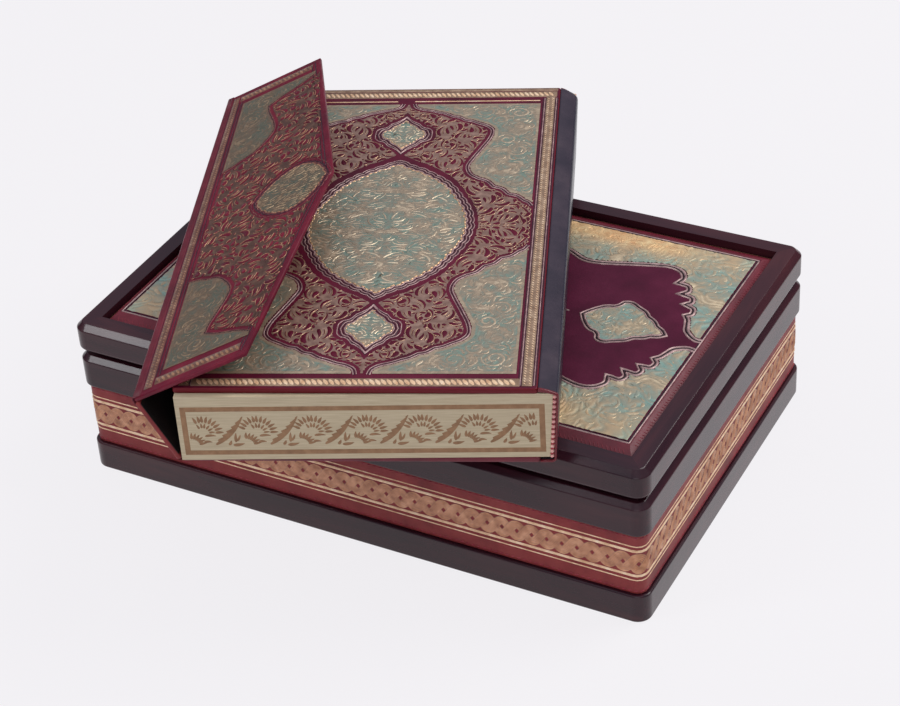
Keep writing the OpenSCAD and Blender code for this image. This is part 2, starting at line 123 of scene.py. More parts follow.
at_book = plane(BOOK_ORIGIN, BOOK_U, BOOK_V, Z)
on_lid = plane(np.array([0.0, 0.0, PANEL_Z]), X, Y, Z)
on_cover = plane(at_book(MID_U, MID_V, BOOK_T), BOOK_U, BOOK_V, Z)
SKEW = math.atan(PAGE_SKEW / PAGE_REACH)
TAIL_U = math.cos(SKEW) * BOOK_U + math.sin(SKEW) * BOOK_V
TAIL_OUT = math.sin(SKEW) * BOOK_U - math.cos(SKEW) * BOOK_V
on_tail = plane(at_book(0.0, PAGE_IN - PAGE_SKEW, 0.0), TAIL_U, Z, TAIL_OUT)
ENV_S = in_scene(ENV_DIR)
ENV_N = in_scene(ENV_OUT)
flap_plane = plane(at_book(FOLD_2[0], 0.0, FOLD_2[1]) + ENV_T / 2 * ENV_N, ENV_S, BOOK_V, ENV_N)


def fold_pull(v):
    """How far the soft upper fold is drawn towards the book, which is more at the head."""
    return PULL_TAIL + PULL_MORE * np.asarray(v, float) / BOOK_H


def on_flap(s, v, h):
    """Places points on the envelope flap, whose first stretch beside the fold is drawn in."""
    s = np.asarray(s, float)
    return flap_plane(s + fold_pull(v) * np.clip(1 - s / PULL_REACH, 0, 1), v, h)


BAND_X = BOX_L / 2 - BAND_INSET
BAND_Y = BOX_W / 2 - BAND_INSET
BAND_LONG = 2 * (BAND_X - BAND_R)
BAND_SHORT = 2 * (BAND_Y - BAND_R)
BAND_ARC = BAND_R * math.pi / 2
BAND_TURN = BAND_LONG + BAND_SHORT + 2 * BAND_ARC
BAND_ROUND = 2 * BAND_TURN


def on_band(t, z, h):
    """Places points on the leather band: t runs round the box, z is up, h is out."""
    t, z, h = arrays(t, z, h)
    t = np.mod(t, BAND_ROUND)
    flip = np.where(t >= BAND_TURN, -1.0, 1.0)
    s = np.where(t >= BAND_TURN, t - BAND_TURN, t)
    first = np.clip(s - BAND_LONG, 0, BAND_ARC) / BAND_R
    second = np.clip(s - BAND_TURN + BAND_ARC, 0, BAND_ARC) / BAND_R
    side = np.clip(s - BAND_LONG - BAND_ARC, 0, BAND_SHORT)
    x = BAND_R - BAND_X + np.minimum(s, BAND_LONG) + (BAND_R + h) * np.sin(first) * np.cos(second)
    y = BAND_R - BAND_Y + side + (BAND_R + h) * (np.sin(second) - np.cos(first))
    return np.stack([x * flip, y * flip, BAND_Z + z], -1)


# Outlines and meshes

CURVE_STEP = 1.2
LOBE_STEP = 0.7
SEAM = 0.3


class Noise:
    """Smooth seeded noise over a plane, from 0 to 1."""

    def __init__(self, seed):
        self.table = np.random.RandomState(seed).rand(64, 64)

    def pick(self, i, j):
        return self.table[np.mod(i, 64), np.mod(j, 64)]

    def __call__(self, x, y):
        i = np.floor(x).astype(int)
        j = np.floor(y).astype(int)
        fx, fy = (f * f * (3 - 2 * f) for f in (x - i, y - j))
        low = self.pick(i, j) * (1 - fx) + self.pick(i + 1, j) * fx
        high = self.pick(i, j + 1) * (1 - fx) + self.pick(i + 1, j + 1) * fx
        return low * (1 - fy) + high * fy


def unit(angle):
    """Directions at the given angles."""
    return np.stack([np.cos(angle), np.sin(angle)], 1)


def sides_of(path, closed=False):
    """Left-hand side of a path at each point, lengthened at corners so that strips keep their width."""
    ahead = np.diff(np.vstack([path, path[:1]]) if closed else path, axis=0)
    ahead = ahead / np.maximum(np.linalg.norm(ahead, axis=1), 1e-9)[:, None]
    left = np.stack([-ahead[:, 1], ahead[:, 0]], 1)
    before = np.roll(left, 1, 0) if closed else np.vstack([left[:1], left])
    after = left if closed else np.vstack([left, left[-1:]])
    scale = 1 + np.sum(before * after, 1)
    return (before + after) / np.maximum(scale, 0.35)[:, None]


def offset(path, distance, closed=True):
    """The path moved to its left."""
    return path + sides_of(path, closed) * distance


def smooth_run(points):
    """A smooth curve through the points, without its last point."""
    p = np.asarray(points, float)
    p = np.vstack([2 * p[0] - p[1], p, 2 * p[-1] - p[-2]])
    out = []
    for a, b, c, d in zip(p, p[1:], p[2:], p[3:]):
        count = max(2, int(math.ceil(np.linalg.norm(c - b) / CURVE_STEP)))
        t = np.arange(count)[:, None] / count
        bend = (2 * a - 5 * b + 4 * c - d) * t ** 2 + (3 * b - a - 3 * c + d) * t ** 3
        out.append(0.5 * (2 * b + (c - a) * t + bend))
    return np.vstack(out)


def outline(*runs):
    """Smooth runs joined at cusps. Each run goes on from the last point of the one before it."""
    ends = [run[-1:] for run in runs]
    joined = [list(runs[0])] + [list(end) + list(run) for end, run in zip(ends, runs[1:])]
    return np.vstack([smooth_run(run) for run in joined] + [np.asarray(ends[-1], float)])


def mirrored_loop(q):
    """A closed outline from a quadrant that runs from the Y axis to the X axis, or back."""
    half = np.vstack([q, (q * [1, -1])[::-1][1:]])
    return turned_left(np.vstack([half, (half * [-1, 1])[::-1][1:-1]]))


def mirrored_half(s):
    """A closed outline from an upper half that starts and ends on the X axis."""
    return turned_left(np.vstack([s, (s * [1, -1])[::-1][1:-1]]))


def turned_left(loop):
    """The closed outline, run anticlockwise."""
    x, y = loop.T
    area = np.sum(x * np.roll(y, -1) - np.roll(x, -1) * y)
    return loop if area > 0 else loop[::-1]


def resample(loop, step, closed=True):
    """The path with evenly spaced points."""
    path = np.vstack([loop, loop[:1]]) if closed else loop
    length = np.concatenate([[0], np.cumsum(np.linalg.norm(np.diff(path, axis=0), axis=1))])
    count = max(3, int(round(length[-1] / step)))
    at = np.linspace(0, length[-1], count + 1)
    out = np.stack([np.interp(at, length, side) for side in path.T], 1)
    return out[:-1] if closed else out


def scalloped(loop, pitch, depth):
    """The closed outline with a row of small lobes along it."""
    path = resample(loop, LOBE_STEP)
    count = max(3, int(round(len(path) * LOBE_STEP / pitch)))
    wave = np.abs(np.sin(np.arange(len(path)) / len(path) * math.pi * count))
    return path - sides_of(path, True) * (depth * wave)[:, None]


def in_loop(loop, x, y):
    """Which of the points lie inside the closed outline."""
    inside = np.zeros(x.shape, bool)
    ax, ay = loop[-1]
    for bx, by in loop:
        if by != ay:
            inside ^= ((by > y) != (ay > y)) & (x < (ax - bx) * (y - by) / (ay - by) + bx)
        ax, ay = bx, by
    return inside


def within(loop, inset, half=None):
    """A test for points inside an outline, and on the upper side of one axis where asked."""
    edge = offset(loop, inset)

    def test(x, y):
        inside = in_loop(edge, x, y)
        return inside if half is None else inside & ((x, y)[half] > SEAM)
    return test


def straight(a, b, step=4.0):
    """Points along a straight line."""
    a = np.asarray(a, float)
    count = max(1, int(round(np.linalg.norm(b - a) / step)))
    return a + (b - a) * np.linspace(0, 1, count + 1)[:, None]


def rounded_rect(l, w, r, count=6):
    """A closed rectangle with round corners, centred, run anticlockwise."""
    r = max(r, 0.01)
    out = []
    for i, (sx, sy) in enumerate(((1, 1), (-1, 1), (-1, -1), (1, -1))):
        angle = np.linspace(0, math.pi / 2, count) + i * math.pi / 2
        out.append(np.array([sx * (l / 2 - r), sy * (w / 2 - r)]) + r * unit(angle))
    return np.vstack(out)


def grid_of(low, high, step):
    """A square grid of points."""
    return np.meshgrid(np.arange(low[0], high[0], step), np.arange(low[1], high[1], step), indexing="ij")


def quads_of(index):
    """Faces of a grid of point numbers, where numbers below 0 are holes."""
    quads = np.stack([index[:-1, :-1], index[1:, :-1], index[1:, 1:], index[:-1, 1:]], -1).reshape(-1, 4)
    return quads[(quads >= 0).all(1)]


def placed(name, data):
    """A new object in the scene."""
    thing = bpy.data.objects.new(name, data)
    bpy.context.scene.collection.objects.link(thing)
    return thing


class Shape:
    """Gathers strips, grids and lofts into one mesh with a tint and a second layer at each point: a warmer
    gold on foil, and painted shade on the spine.
    """

    DOME = np.array([[-0.5, -0.32, 0.0, 0.32, 0.5], [0.0, 0.72, 1.0, 0.72, 0.0]])
    FLAT = np.array([[-0.5, -0.46, 0.46, 0.5], [0.0, 1.0, 1.0, 0.0]])

    def __init__(self):
        self.points = []
        self.quads = []
        self.tints = []
        self.caps = []
        self.count = 0

    def add(self, points, quads, tint=0.5, warm_and_shade=0.0):
        points = points.reshape(-1, 3)
        tints = np.empty((len(points), 2))
        tints[:, 0] = tint
        tints[:, 1] = warm_and_shade
        self.points.append(points)
        self.quads.append(quads + self.count)
        self.tints.append(tints)
        self.count += len(points)

    def grid(self, points, tint=0.5, warm_and_shade=0.0, around=False, across=False):
        """A grid of points by row and column, closed along its rows or columns where asked."""
        shape = points.shape[:2]
        index = np.arange(shape[0] * shape[1]).reshape(shape)
        if around:
            index = np.vstack([index, index[:1]])
        if across:
            index = np.hstack([index, index[:, :1]])
        tint, warm_and_shade = (np.broadcast_to(value, shape).reshape(-1) for value in (tint, warm_and_shade))
        self.add(points, quads_of(index), tint, warm_and_shade)

    def patch(self, at, x, y, chosen, height, centre, signs, tint=0.5, warm_and_shade=None):
        """A sheet over the chosen points of a grid, mirrored by each pair of signs about the centre."""
        index = np.full(x.shape, -1)
        index[chosen] = np.arange(chosen.sum())
        quads = quads_of(index)
        height, tint = (np.broadcast_to(value, x.shape)[chosen] for value in (height, tint))
        for sx, sy in signs:
            px = x[chosen] * sx
            py = y[chosen] * sy
            points = at(px + centre[0], py + centre[1], height)
            self.add(points, quads if sx * sy > 0 else quads[:, ::-1], tint, warm_and_shade(px, py) if warm_and_shade else 0.0)

    def ribbon(self, at, path, width, height, base=-0.05, tint=0.5, closed=False, warm_and_shade=0.0, flat=False):
        """A raised strip along a path. Its section is a low dome, or flat with steep sides."""
        side = sides_of(path, closed)
        across, rise = self.FLAT if flat else self.DOME
        width, height, tint = (np.broadcast_to(value, len(path))[:, None] for value in (width, height, tint))
        a = path[:, :1] + side[:, :1] * across * width
        b = path[:, 1:] + side[:, 1:] * across * width
        self.grid(at(a, b, base + (height - base) * rise), tint, warm_and_shade, around=closed)

    def loft(self, loops, tint=0.5, warm_and_shade=0.0, first_cap=True):
        """A skin through closed loops of equal length, run anticlockwise seen from where the loops go."""
        start = self.count
        count = len(loops[0])
        self.grid(np.stack(loops)[:, ::-1], tint, warm_and_shade, across=True)
        if first_cap:
            self.caps.append(range(start, start + count))
        self.caps.append(range(start, self.count)[::-1][:count])

    def make(self, name, material, body=None, replaces=(), smooth=True):
        mesh = bpy.data.meshes.new(name)
        quads = np.vstack(self.quads).tolist()
        mesh.from_pydata((np.vstack(self.points) * MM).tolist(), [], quads + [list(cap) for cap in self.caps])
        for word, values in zip(("tint", "warm_and_shade"), np.vstack(self.tints).T):
            layer = mesh.attributes.new(word, "FLOAT", "POINT")
            layer.data.foreach_set("value", values.astype(np.float32))
        rounded = smooth & (np.arange(len(mesh.polygons)) < len(quads))
        mesh.polygons.foreach_set("use_smooth", rounded)
        mesh.update()
        mesh.materials.append(material)
        thing = placed(name, mesh)
        if body:
            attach(thing, body)
        if replaces:
            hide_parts(*replaces)
        return thing


# Materials, with colours in picture values from 0 to 255

def srgb(*colour):
    """A colour as the shaders take it."""
    shares = [c / 255 for c in colour]
    return tuple(c / 12.92 if c <= 0.04045 else ((c + 0.055) / 1.055) ** 2.4 for c in shares) + (1.0,)


class Surface:
    """A node material under construction. A value is a number, a colour or another node's output."""

    def __init__(self, name):
        self.material = bpy.data.materials.new(name)
        self.material.use_nodes = True
        self.tree = self.material.node_tree
        self.shader = self.tree.nodes["Principled BSDF"]
        self.coords = self.node("ShaderNodeTexCoord").outputs["Object"]

    def feed(self, node, values):
        for key, value in values.items():
            socket = node.inputs[key]
            if isinstance(value, bpy.types.NodeSocket):
                self.tree.links.new(value, socket)
            else:
                socket.default_value = srgb(*value) if socket.type == "RGBA" else value

    def node(self, kind, values=None, **settings):
        made = self.tree.nodes.new(kind)
        for key, value in settings.items():
            setattr(made, key, value)
        self.feed(made, values or {})
        return made

    def noise(self, scale, detail=3.0, stretch=None, rough=0.55, twist=0.0):
        place = self.coords
        if stretch:
            place = self.node("ShaderNodeMapping", {"Scale": stretch, "Vector": place}).outputs["Vector"]
        values = {"Scale": scale, "Detail": detail, "Roughness": rough, "Distortion": twist, "Vector": place}
        return self.node("ShaderNodeTexNoise", values).outputs["Fac"]

    def cells(self, scale):
        return self.node("ShaderNodeTexVoronoi", {"Scale": scale, "Vector": self.coords}).outputs["Distance"]

    def ramp(self, source, *stops):
        made = self.node("ShaderNodeValToRGB", {"Fac": source})
        bar = made.color_ramp.elements
        while len(bar) < len(stops):
            bar.new(0.5)
        for element, (place, colour) in zip(bar, stops):
            element.position = place
            element.color = srgb(*colour)
        return made.outputs["Color"]

    def spread(self, source, low, high):
        values = {"To Min": low, "To Max": high, "Value": source}
        return self.node("ShaderNodeMapRange", values).outputs["Result"]

    def mix(self, factor, a, b):
        return self.node("ShaderNodeMix", {0: factor, 6: a, 7: b}, data_type="RGBA").outputs[2]

    def math(self, operation, *values):
        return self.node("ShaderNodeMath", dict(enumerate(values)), operation=operation).outputs[0]

    def attribute(self, name):
        return self.node("ShaderNodeAttribute", attribute_name=name).outputs["Fac"]

    def bump(self, *layers):
        """Bumps stacked one on the other, each a height source, its depth in metres and its strength."""
        top = self.shader
        for source, depth, strength in layers[::-1]:
            made = self.node("ShaderNodeBump", {"Height": source, "Distance": depth, "Strength": strength})
            self.feed(top, {"Normal": made.outputs["Normal"]})
            top = made

    def done(self, colour, rough, metal=0.0, coat=0.0, coat_rough=0.05, specular=0.5, sheen=0.0):
        self.feed(self.shader, {
            "Base Color": colour, "Roughness": rough, "Metallic": metal, "Coat Weight": coat,
            "Coat Roughness": coat_rough, "Specular IOR Level": specular, "Sheen Weight": sheen,
        })
        return self.material


def lacquer(name, stretch):
    """Dark aubergine wood under a thick gloss coat, with faint grain along its length."""
    s = Surface(name)
    grain = s.noise(26.0, 5.0, stretch, 0.6, 0.4)
    wood = s.ramp(grain, (0.3, (40, 14, 20)), (0.55, (60, 24, 29)), (0.75, (78, 34, 36)))
    colour = s.mix(s.spread(s.noise(9.0, 2.0), 0.0, 0.5), wood, (32, 15, 34))
    s.bump((s.noise(60.0, 3.0), 0.0002, 0.05), (grain, 0.0001, 0.06))
    return s.done(colour, s.spread(s.noise(35.0, 4.0), 0.16, 0.3), coat=0.12, coat_rough=0.04, specular=0.34)


def leather(name, dark, mid, light, rough=(0.38, 0.58), grain=900.0, specular=0.4, edge=None, painted_shade=None):
    """Fine grained leather with cloudy colour, an edge of another colour where asked, and a darker colour
    mixed in as painted shade where asked.
    """
    s = Surface(name)
    pores = s.cells(grain)
    colour = s.ramp(s.noise(45.0, 4.0), (0.25, dark), (0.5, mid), (0.78, light))
    colour = s.mix(s.spread(pores, 0.22, 0.0), colour, dark)
    # Painted shade: the darker colour goes where the mesh's second layer asks for it, as across the spine.
    if painted_shade:
        colour = s.mix(s.attribute("warm_and_shade"), colour, painted_shade)
    if edge:
        colour = s.mix(s.attribute("tint"), colour, edge)
    s.bump((pores, 0.00012, 0.35), (s.noise(160.0, 4.0), 0.0002, 0.18))
    return s.done(colour, s.spread(s.noise(220.0, 3.0), *rough), specular=specular)


def foil(name, metal, mottle, *stops):
    """Pressed foil whose colour follows the relief, with mottled patches and a warmer gold where asked."""
    s = Surface(name)
    cloud = s.noise(130.0, 4.0, None, 0.6, 1.2)
    pressed = s.math("ADD", s.spread(cloud, -mottle, mottle), s.attribute("tint"))
    gold = s.ramp(cloud, (0.3, (236, 180, 124)), (0.7, (246, 216, 162)))
    colour = s.mix(s.attribute("warm_and_shade"), s.ramp(pressed, *stops), gold)
    s.bump((s.noise(900.0, 3.0), 0.00012, 0.25), (s.noise(330.0, 3.0, None, 0.5, 2.0), 0.0003, 0.3))
    return s.done(colour, s.spread(s.noise(300.0, 2.0), 0.34, 0.56), metal=metal)


def gilt(name, dark, mid, light, metal=0.45, rough=(0.3, 0.5)):
    """Worn gilding on raised lines and leaves."""
    s = Surface(name)
    colour = s.ramp(s.noise(240.0, 4.0), (0.3, dark), (0.52, mid), (0.72, light))
    s.bump((s.noise(1400.0, 2.0), 0.0001, 0.3))
    return s.done(colour, s.spread(s.noise(420.0, 2.0), *rough), metal=metal)


def paper(name, dark, light, lines):
    """Cream paper with the fine lines of stacked leaf edges."""
    s = Surface(name)
    leaves = s.noise(1.0, 3.0, lines)
    cloud = s.noise(40.0, 3.0)
    colour = s.mix(s.spread(cloud, 0.0, 0.25), s.ramp(leaves, (0.25, dark), (0.7, light)), dark)
    s.bump((leaves, 0.00015, 0.35))
    return s.done(colour, s.spread(cloud, 0.72, 0.9), specular=0.2)


def velvet(name):
    """Deep pile velvet on a board."""
    s = Surface(name)
    pile = s.noise(1600.0, 2.0)
    s.bump((pile, 0.0004, 0.5))
    colour = s.ramp(s.noise(60.0, 3.0), (0.3, (48, 8, 16)), (0.7, (92, 18, 30)))
    return s.done(colour, s.spread(pile, 0.8, 1.0), specular=0.1, sheen=0.6)


def brass(name):
    """Brushed brass."""
    s = Surface(name)
    brushed = s.noise(300.0, 3.0, (1.0, 14.0, 14.0))
    s.bump((brushed, 0.00005, 0.25))
    colour = s.ramp(brushed, (0.3, (160, 118, 58)), (0.7, (214, 176, 104)))
    return s.done(colour, s.spread(brushed, 0.22, 0.42), metal=1.0)


def plain_wood(name):
    """Unfinished board under the leather and velvet."""
    s = Surface(name)
    grain = s.noise(30.0, 5.0, (1.0, 9.0, 9.0), 0.6, 0.5)
    s.bump((grain, 0.0003, 0.3))
    colour = s.ramp(grain, (0.3, (128, 92, 58)), (0.7, (176, 138, 94)))
    return s.done(colour, s.spread(grain, 0.6, 0.8), specular=0.25)


DULL = (0.5, 0.7)
SILKY = (0.35, 0.5)
BURNISHED = (0.25, 0.4)
BAND_LEATHER = leather("band_leather", (102, 32, 34), (136, 50, 50), (152, 66, 62), specular=0.25)
COVER_LEATHER = leather(
    "cover_leather", (64, 8, 28), (90, 14, 40), (108, 26, 52), specular=0.24, edge=(102, 10, 24)
)
FIELD_LEATHER = leather("field_leather", (66, 6, 26), (90, 12, 38), (108, 24, 50), specular=0.2)
EDGE_LEATHER = leather("edge_leather", (74, 12, 26), (102, 22, 38), (126, 40, 54))
PLUM_LEATHER = leather("plum_leather", (66, 14, 36), (82, 20, 46), (96, 30, 56), (0.36, 0.5), 700.0, 0.16)
# The spine's dark navy mix is painted shade, standing for the reflections along its round back.
SPINE_LEATHER = leather(
    "spine_leather", (50, 41, 50), (76, 62, 70), (102, 84, 90), (0.22, 0.38), 700.0,
    edge=(104, 20, 32), painted_shade=(28, 28, 44)
)
FLAP_LEATHER = leather("flap_leather", (76, 12, 32), (110, 20, 42), (130, 34, 52), specular=0.22)
GROOVE_LEATHER = leather("groove_leather", (40, 6, 22), (56, 10, 30), (70, 18, 38))
DOUBLURE = leather("doublure", (10, 5, 9), (20, 10, 16), (30, 16, 22), DULL)
LINING = leather("flap_lining", (112, 62, 36), (142, 84, 50), (164, 106, 68), DULL)
CRIMSON_THREAD = leather("crimson_thread", (112, 26, 42), (146, 44, 58), (172, 76, 86), DULL, 2400.0)
EDGE_THREAD = leather("edge_thread", (96, 20, 36), (122, 34, 48), (142, 54, 66), DULL, 2400.0)
RED_SILK = leather("red_silk", (110, 20, 32), (146, 34, 46), (176, 60, 66), SILKY, 2600.0)
PALE_SILK = leather("pale_silk", (206, 140, 134), (226, 166, 156), (240, 198, 188), SILKY, 2600.0)
COVER_FOIL = foil(
    "cover_foil", 0.65, 0.3, (0.0, (104, 92, 76)), (0.16, (142, 164, 148)), (0.38, (156, 155, 138)),
    (0.6, (178, 158, 134)), (0.95, (246, 226, 192))
)
# The flap's foil is a darker copy of the cover's: painted shade for the tilted flap.
SHADED_FLAP_FOIL = foil(
    "shaded_flap_foil", 0.5, 0.3, (0.0, (78, 66, 52)), (0.16, (108, 114, 98)), (0.38, (118, 108, 90)),
    (0.6, (132, 110, 88)), (0.95, (196, 168, 132))
)
LID_FOIL = foil(
    "lid_foil", 0.5, 0.35, (0.0, (122, 132, 116)), (0.12, (142, 176, 164)), (0.4, (162, 166, 148)),
    (0.62, (188, 168, 138)), (0.95, (242, 224, 188))
)
ARABESQUE = gilt("arabesque", (132, 100, 88), (156, 124, 110), (184, 150, 132), 0.5)
# The flap's gilt is a darker copy of the arabesque gilt: painted shade for the tilted flap.
SHADED_FLAP_GILT = gilt("shaded_flap_gilt", (92, 60, 50), (114, 80, 66), (144, 108, 88), 0.55)
# A lighter gilt for the raised leaf edges: a painted highlight.
LEAF_HIGHLIGHT_GILT = gilt("leaf_highlight_gilt", (160, 124, 98), (190, 154, 122), (216, 184, 148), 0.6, BURNISHED)
RIM_GILT = gilt("rim_gilt", (188, 146, 106), (220, 180, 136), (240, 208, 166), 0.55, BURNISHED)
# The flap's line, rope and border gilt are darker copies of the cover's: painted shade for the tilted flap.
SHADED_FLAP_LINE = gilt("shaded_flap_line", (92, 40, 50), (118, 64, 62), (150, 100, 82), 0.3)
SHADED_FLAP_ROPE = gilt("flap_rope", (142, 98, 72), (178, 130, 98), (206, 162, 126), 0.35)
SHADED_FLAP_BORDER = gilt("flap_border", (104, 68, 56), (126, 88, 72), (148, 110, 90), 0.3)
BORDER_GILT = gilt("border_gilt", (132, 104, 84), (158, 130, 106), (182, 154, 128), 0.3)
BRIGHT_GILT = gilt("bright_gilt", (214, 168, 128), (240, 202, 162), (252, 226, 194), 0.2)
BRAID_GILT = gilt("braid_gilt", (160, 102, 70), (194, 134, 96), (216, 160, 122), 0.3)
LINE_GILT = gilt("line_gilt", (142, 112, 112), (176, 144, 140), (206, 176, 168), 0.25)
PRINT_BROWN = gilt("print_brown", (134, 98, 66), (148, 110, 76), (160, 122, 86), 0.0, (0.6, 0.8))
END_PAPER = paper("end_paper", (206, 194, 166), (226, 216, 192), (220.0, 220.0, 220.0))
PAGES = paper("pages", (180, 162, 132), (208, 192, 160), (60.0, 60.0, 2600.0))


def dress(material, *names):
    """Gives CAD nodes that stay visible their material."""
    for name in names:
        slots = nodes[name].data.materials
        slots.clear()
        slots.append(material)


def sided(parts, sides):
    """Names of the nodes that each part has on each side."""
    return [part + side for part in parts for side in sides]


LONG_SIDES = ("front", "back")
SHORT_SIDES = ("left", "right")
ALL_SIDES = LONG_SIDES + SHORT_SIDES
LACQUERED = ("plinth_", "rail_", "lid_frame_")
HINGE_PARTS = ("hinge_base_leaf_", "hinge_pin_", "hinge_lid_leaf_")
dress(lacquer("lacquer_long", (0.35, 3.0, 3.0)), *sided(LACQUERED, LONG_SIDES))
dress(lacquer("lacquer_short", (3.0, 0.35, 3.0)), *sided(LACQUERED, SHORT_SIDES))
dress(plain_wood("plain_wood"), "bottom_panel", "floor_battens", "lid_board", "back_board", "front_board",
      *sided(("wall_",), ALL_SIDES))
dress(velvet("velvet"), "floor_board", "lid_lining", *sided(("liner_",), ALL_SIDES))
dress(brass("brass"), "hinge_base_screws", "hinge_lid_screws", *sided(HINGE_PARTS, SHORT_SIDES))
dress(END_PAPER, "back_endpaper", "front_endpaper")


# Common ornament

RANDOM = np.random.RandomState(11)
ONE = ((1, 1),)
SIDES = ((1, 1), (-1, 1))
HALVES = ((1, 1), (1, -1))
ALL_FOUR = ((1, 1), (-1, 1), (1, -1), (-1, -1))
MIDDLE = (0.0, 0.0)
FIELD_STEP = 0.62
FIELD_LAP = 1.0
FIELD_H = 0.1
VEIN_GAP = 0.14
VEIN_RISE = 0.2
CUT_FLOOR = 0.08
CUT_RISE = 0.06
LINE_H = 0.24
GROOVE_H = 0.1


def leaf_path(start, heading, length, sweep, count=7):
    """A curling stroke that starts at a point and turns by the sweep."""
    angle = heading + sweep * np.linspace(0, 1, count) ** 1.3
    steps = unit(angle[:-1]) * (length / (count - 1))
    return start + np.vstack([np.zeros((1, 2)), np.cumsum(steps, 0)])


def leaf_width(width, count=7):
    """Widths of a leaf along its length: a round shoulder and a drawn-out point."""
    t = np.linspace(0.03, 0.985, count)
    return width * np.sin(math.pi * t ** 0.62) ** 0.8 + 0.08


class Packing:
    """A field that strokes are laid into so that they stay clear of each other."""

    CELL = 0.25

    def __init__(self, low, high, inside, seed):
        self.low = np.asarray(low, float)
        count = np.ceil((np.asarray(high) - self.low) / self.CELL).astype(int) + 1
        x, y = (start + np.arange(n) * self.CELL for start, n in zip(self.low, count))
        self.free = inside(*np.meshgrid(x, y, indexing="ij"))
        self.random = np.random.RandomState(seed)
        self.strokes = []

    def index(self, points):
        found = np.round((points - self.low) / self.CELL).astype(int)
        return tuple(np.clip(found, 0, np.array(self.free.shape) - 1).T)

    def take(self, path, width, gap):
        """Marks a stroke's room, with a gap round it."""
        for point, radius in zip(path, width / 2 + gap):
            reach = int(math.ceil(radius / self.CELL))
            i, j = (cell[0] for cell in self.index(point[None]))
            i0 = max(0, i - reach)
            j0 = max(0, j - reach)
            block = self.free[i0:i + reach + 1, j0:j + reach + 1]
            gx = (np.arange(block.shape[0]) + i0) * self.CELL + self.low[0] - point[0]
            gy = (np.arange(block.shape[1]) + j0) * self.CELL + self.low[1] - point[1]
            block &= gx[:, None] ** 2 + gy[None, :] ** 2 > radius ** 2

    def lay(self, path, width, gap, force=False):
        side = sides_of(path) * (width / 2)[:, None]
        if not force and not self.free[self.index(np.vstack([path, path + side, path - side]))].all():
            return False
        dense = resample(path, 0.4, False)
        at = np.linspace(0, 1, len(dense))
        self.take(dense, np.interp(at, np.linspace(0, 1, len(width)), width), gap)
        self.strokes.append((path, width))
        return True

    def spots(self, count):
        """Random points that are still free."""
        open_cells = np.argwhere(self.free)
        if not len(open_cells):
            return np.zeros((0, 2))
        return self.low + open_cells[self.random.randint(0, len(open_cells), count)] * self.CELL

    def side(self):
        """One way or the other."""
        return 1 if self.random.rand() < 0.5 else -1


def nearest(spot, centres, turns):
    """Angle from the nearest centre to a spot, and the way that strokes turn there."""
    away = spot - centres
    near = np.argmin(np.sum(away ** 2, 1))
    return math.atan2(away[near][1], away[near][0]), turns[near]


def flow(field, centres, turns, sizes, gap, tries, tilt=0.45):
    """Fills a field with curled strokes that run round the nearest centre."""
    vary = field.random.uniform
    for length, width, sweep in sizes:
        for spot in field.spots(tries):
            angle, turn = nearest(spot, centres, turns)
            heading = angle + turn * (math.pi / 2 - tilt) + field.random.normal(0, 0.4)
            path = leaf_path(spot, heading, length * vary(0.75, 1.2), turn * sweep * vary(0.6, 1.3))
            field.lay(path, leaf_width(width * vary(0.85, 1.15)), gap)


def scrolls(low, high, inside, seed, radii, sizes, stem, gap, tries):
    """Spiral stems packed into a field, with curled strokes between them."""
    field = Packing(low, high, inside, seed)
    ring = unit(np.linspace(0, 2 * math.pi, 16))
    spirals = []
    for radius in radii:
        for spot in field.spots(500):
            clear = all(np.linalg.norm(spot - c) > radius + r + 0.8 for c, r, turn in spirals)
            if clear and field.free[field.index(spot + radius * ring)].all():
                spirals.append((spot, radius, field.side()))
    for centre, radius, turn in spirals:
        t = np.linspace(0, 1, int(14 + radius * 3))
        angle = field.random.rand() * 2 * math.pi + turn * t * 2 * math.pi * 1.35
        path = centre + unit(angle) * (radius * (1 - 0.75 * t))[:, None]
        field.lay(path, stem * np.sin(math.pi * np.linspace(0.08, 0.9, len(path))) ** 0.6, gap, True)
    centres, radii, turns = (np.array(column) for column in zip(*spirals))
    flow(field, centres, turns, sizes, gap, tries)
    return field.strokes


def outlined(field, centres, turns, leaves, gap, tries, edge):
    """Leaves that show by the openings along both their sides and a fine vein."""
    vary = field.random.uniform
    for length, width, sweep in leaves:
        for spot in field.spots(tries):
            angle, turn = nearest(spot, centres, turns)
            heading = angle + turn * 0.9 + field.random.normal(0, 0.5)
            path = leaf_path(spot, heading, length * vary(0.8, 1.15), turn * sweep, 9)
            wide = leaf_width(width, 9)
            if field.lay(path, wide + 2 * edge, gap):
                side = sides_of(path) * (wide / 2 + edge / 2)[:, None]
                field.strokes[-1:] = [
                    ((path + side)[1:], leaf_width(edge * vary(0.9, 1.5), 8)),
                    ((path - side)[1:], leaf_width(edge * vary(0.7, 1.1), 8)),
                    (path[2:-2], leaf_width(0.42, 5)),
                ]


def openings(low, high, inside, seed, rings, leaves, sizes, gap, tries, centres, edge):
    """Curled openings between the leaves of a gilt field."""
    field = Packing(low, high, inside, seed)
    for path, width in rings:
        field.lay(path, width, gap * 0.8, True)
    middles = field.spots(centres)
    turns = field.random.choice([-1, 1], len(middles))
    outlined(field, middles, turns, leaves, gap * 0.6, tries, edge)
    flow(field, middles, turns, sizes, gap, tries, 0.7)
    return field.strokes


def dashes(centre, radii, spans, width):
    """Curved dashes along an oval, each from one angle to the next."""
    arcs = (np.radians(np.linspace(start, end, 8)) for start, end in spans)
    return [(np.asarray(centre) + unit(arc) * radii, leaf_width(width, 8)) for arc in arcs]


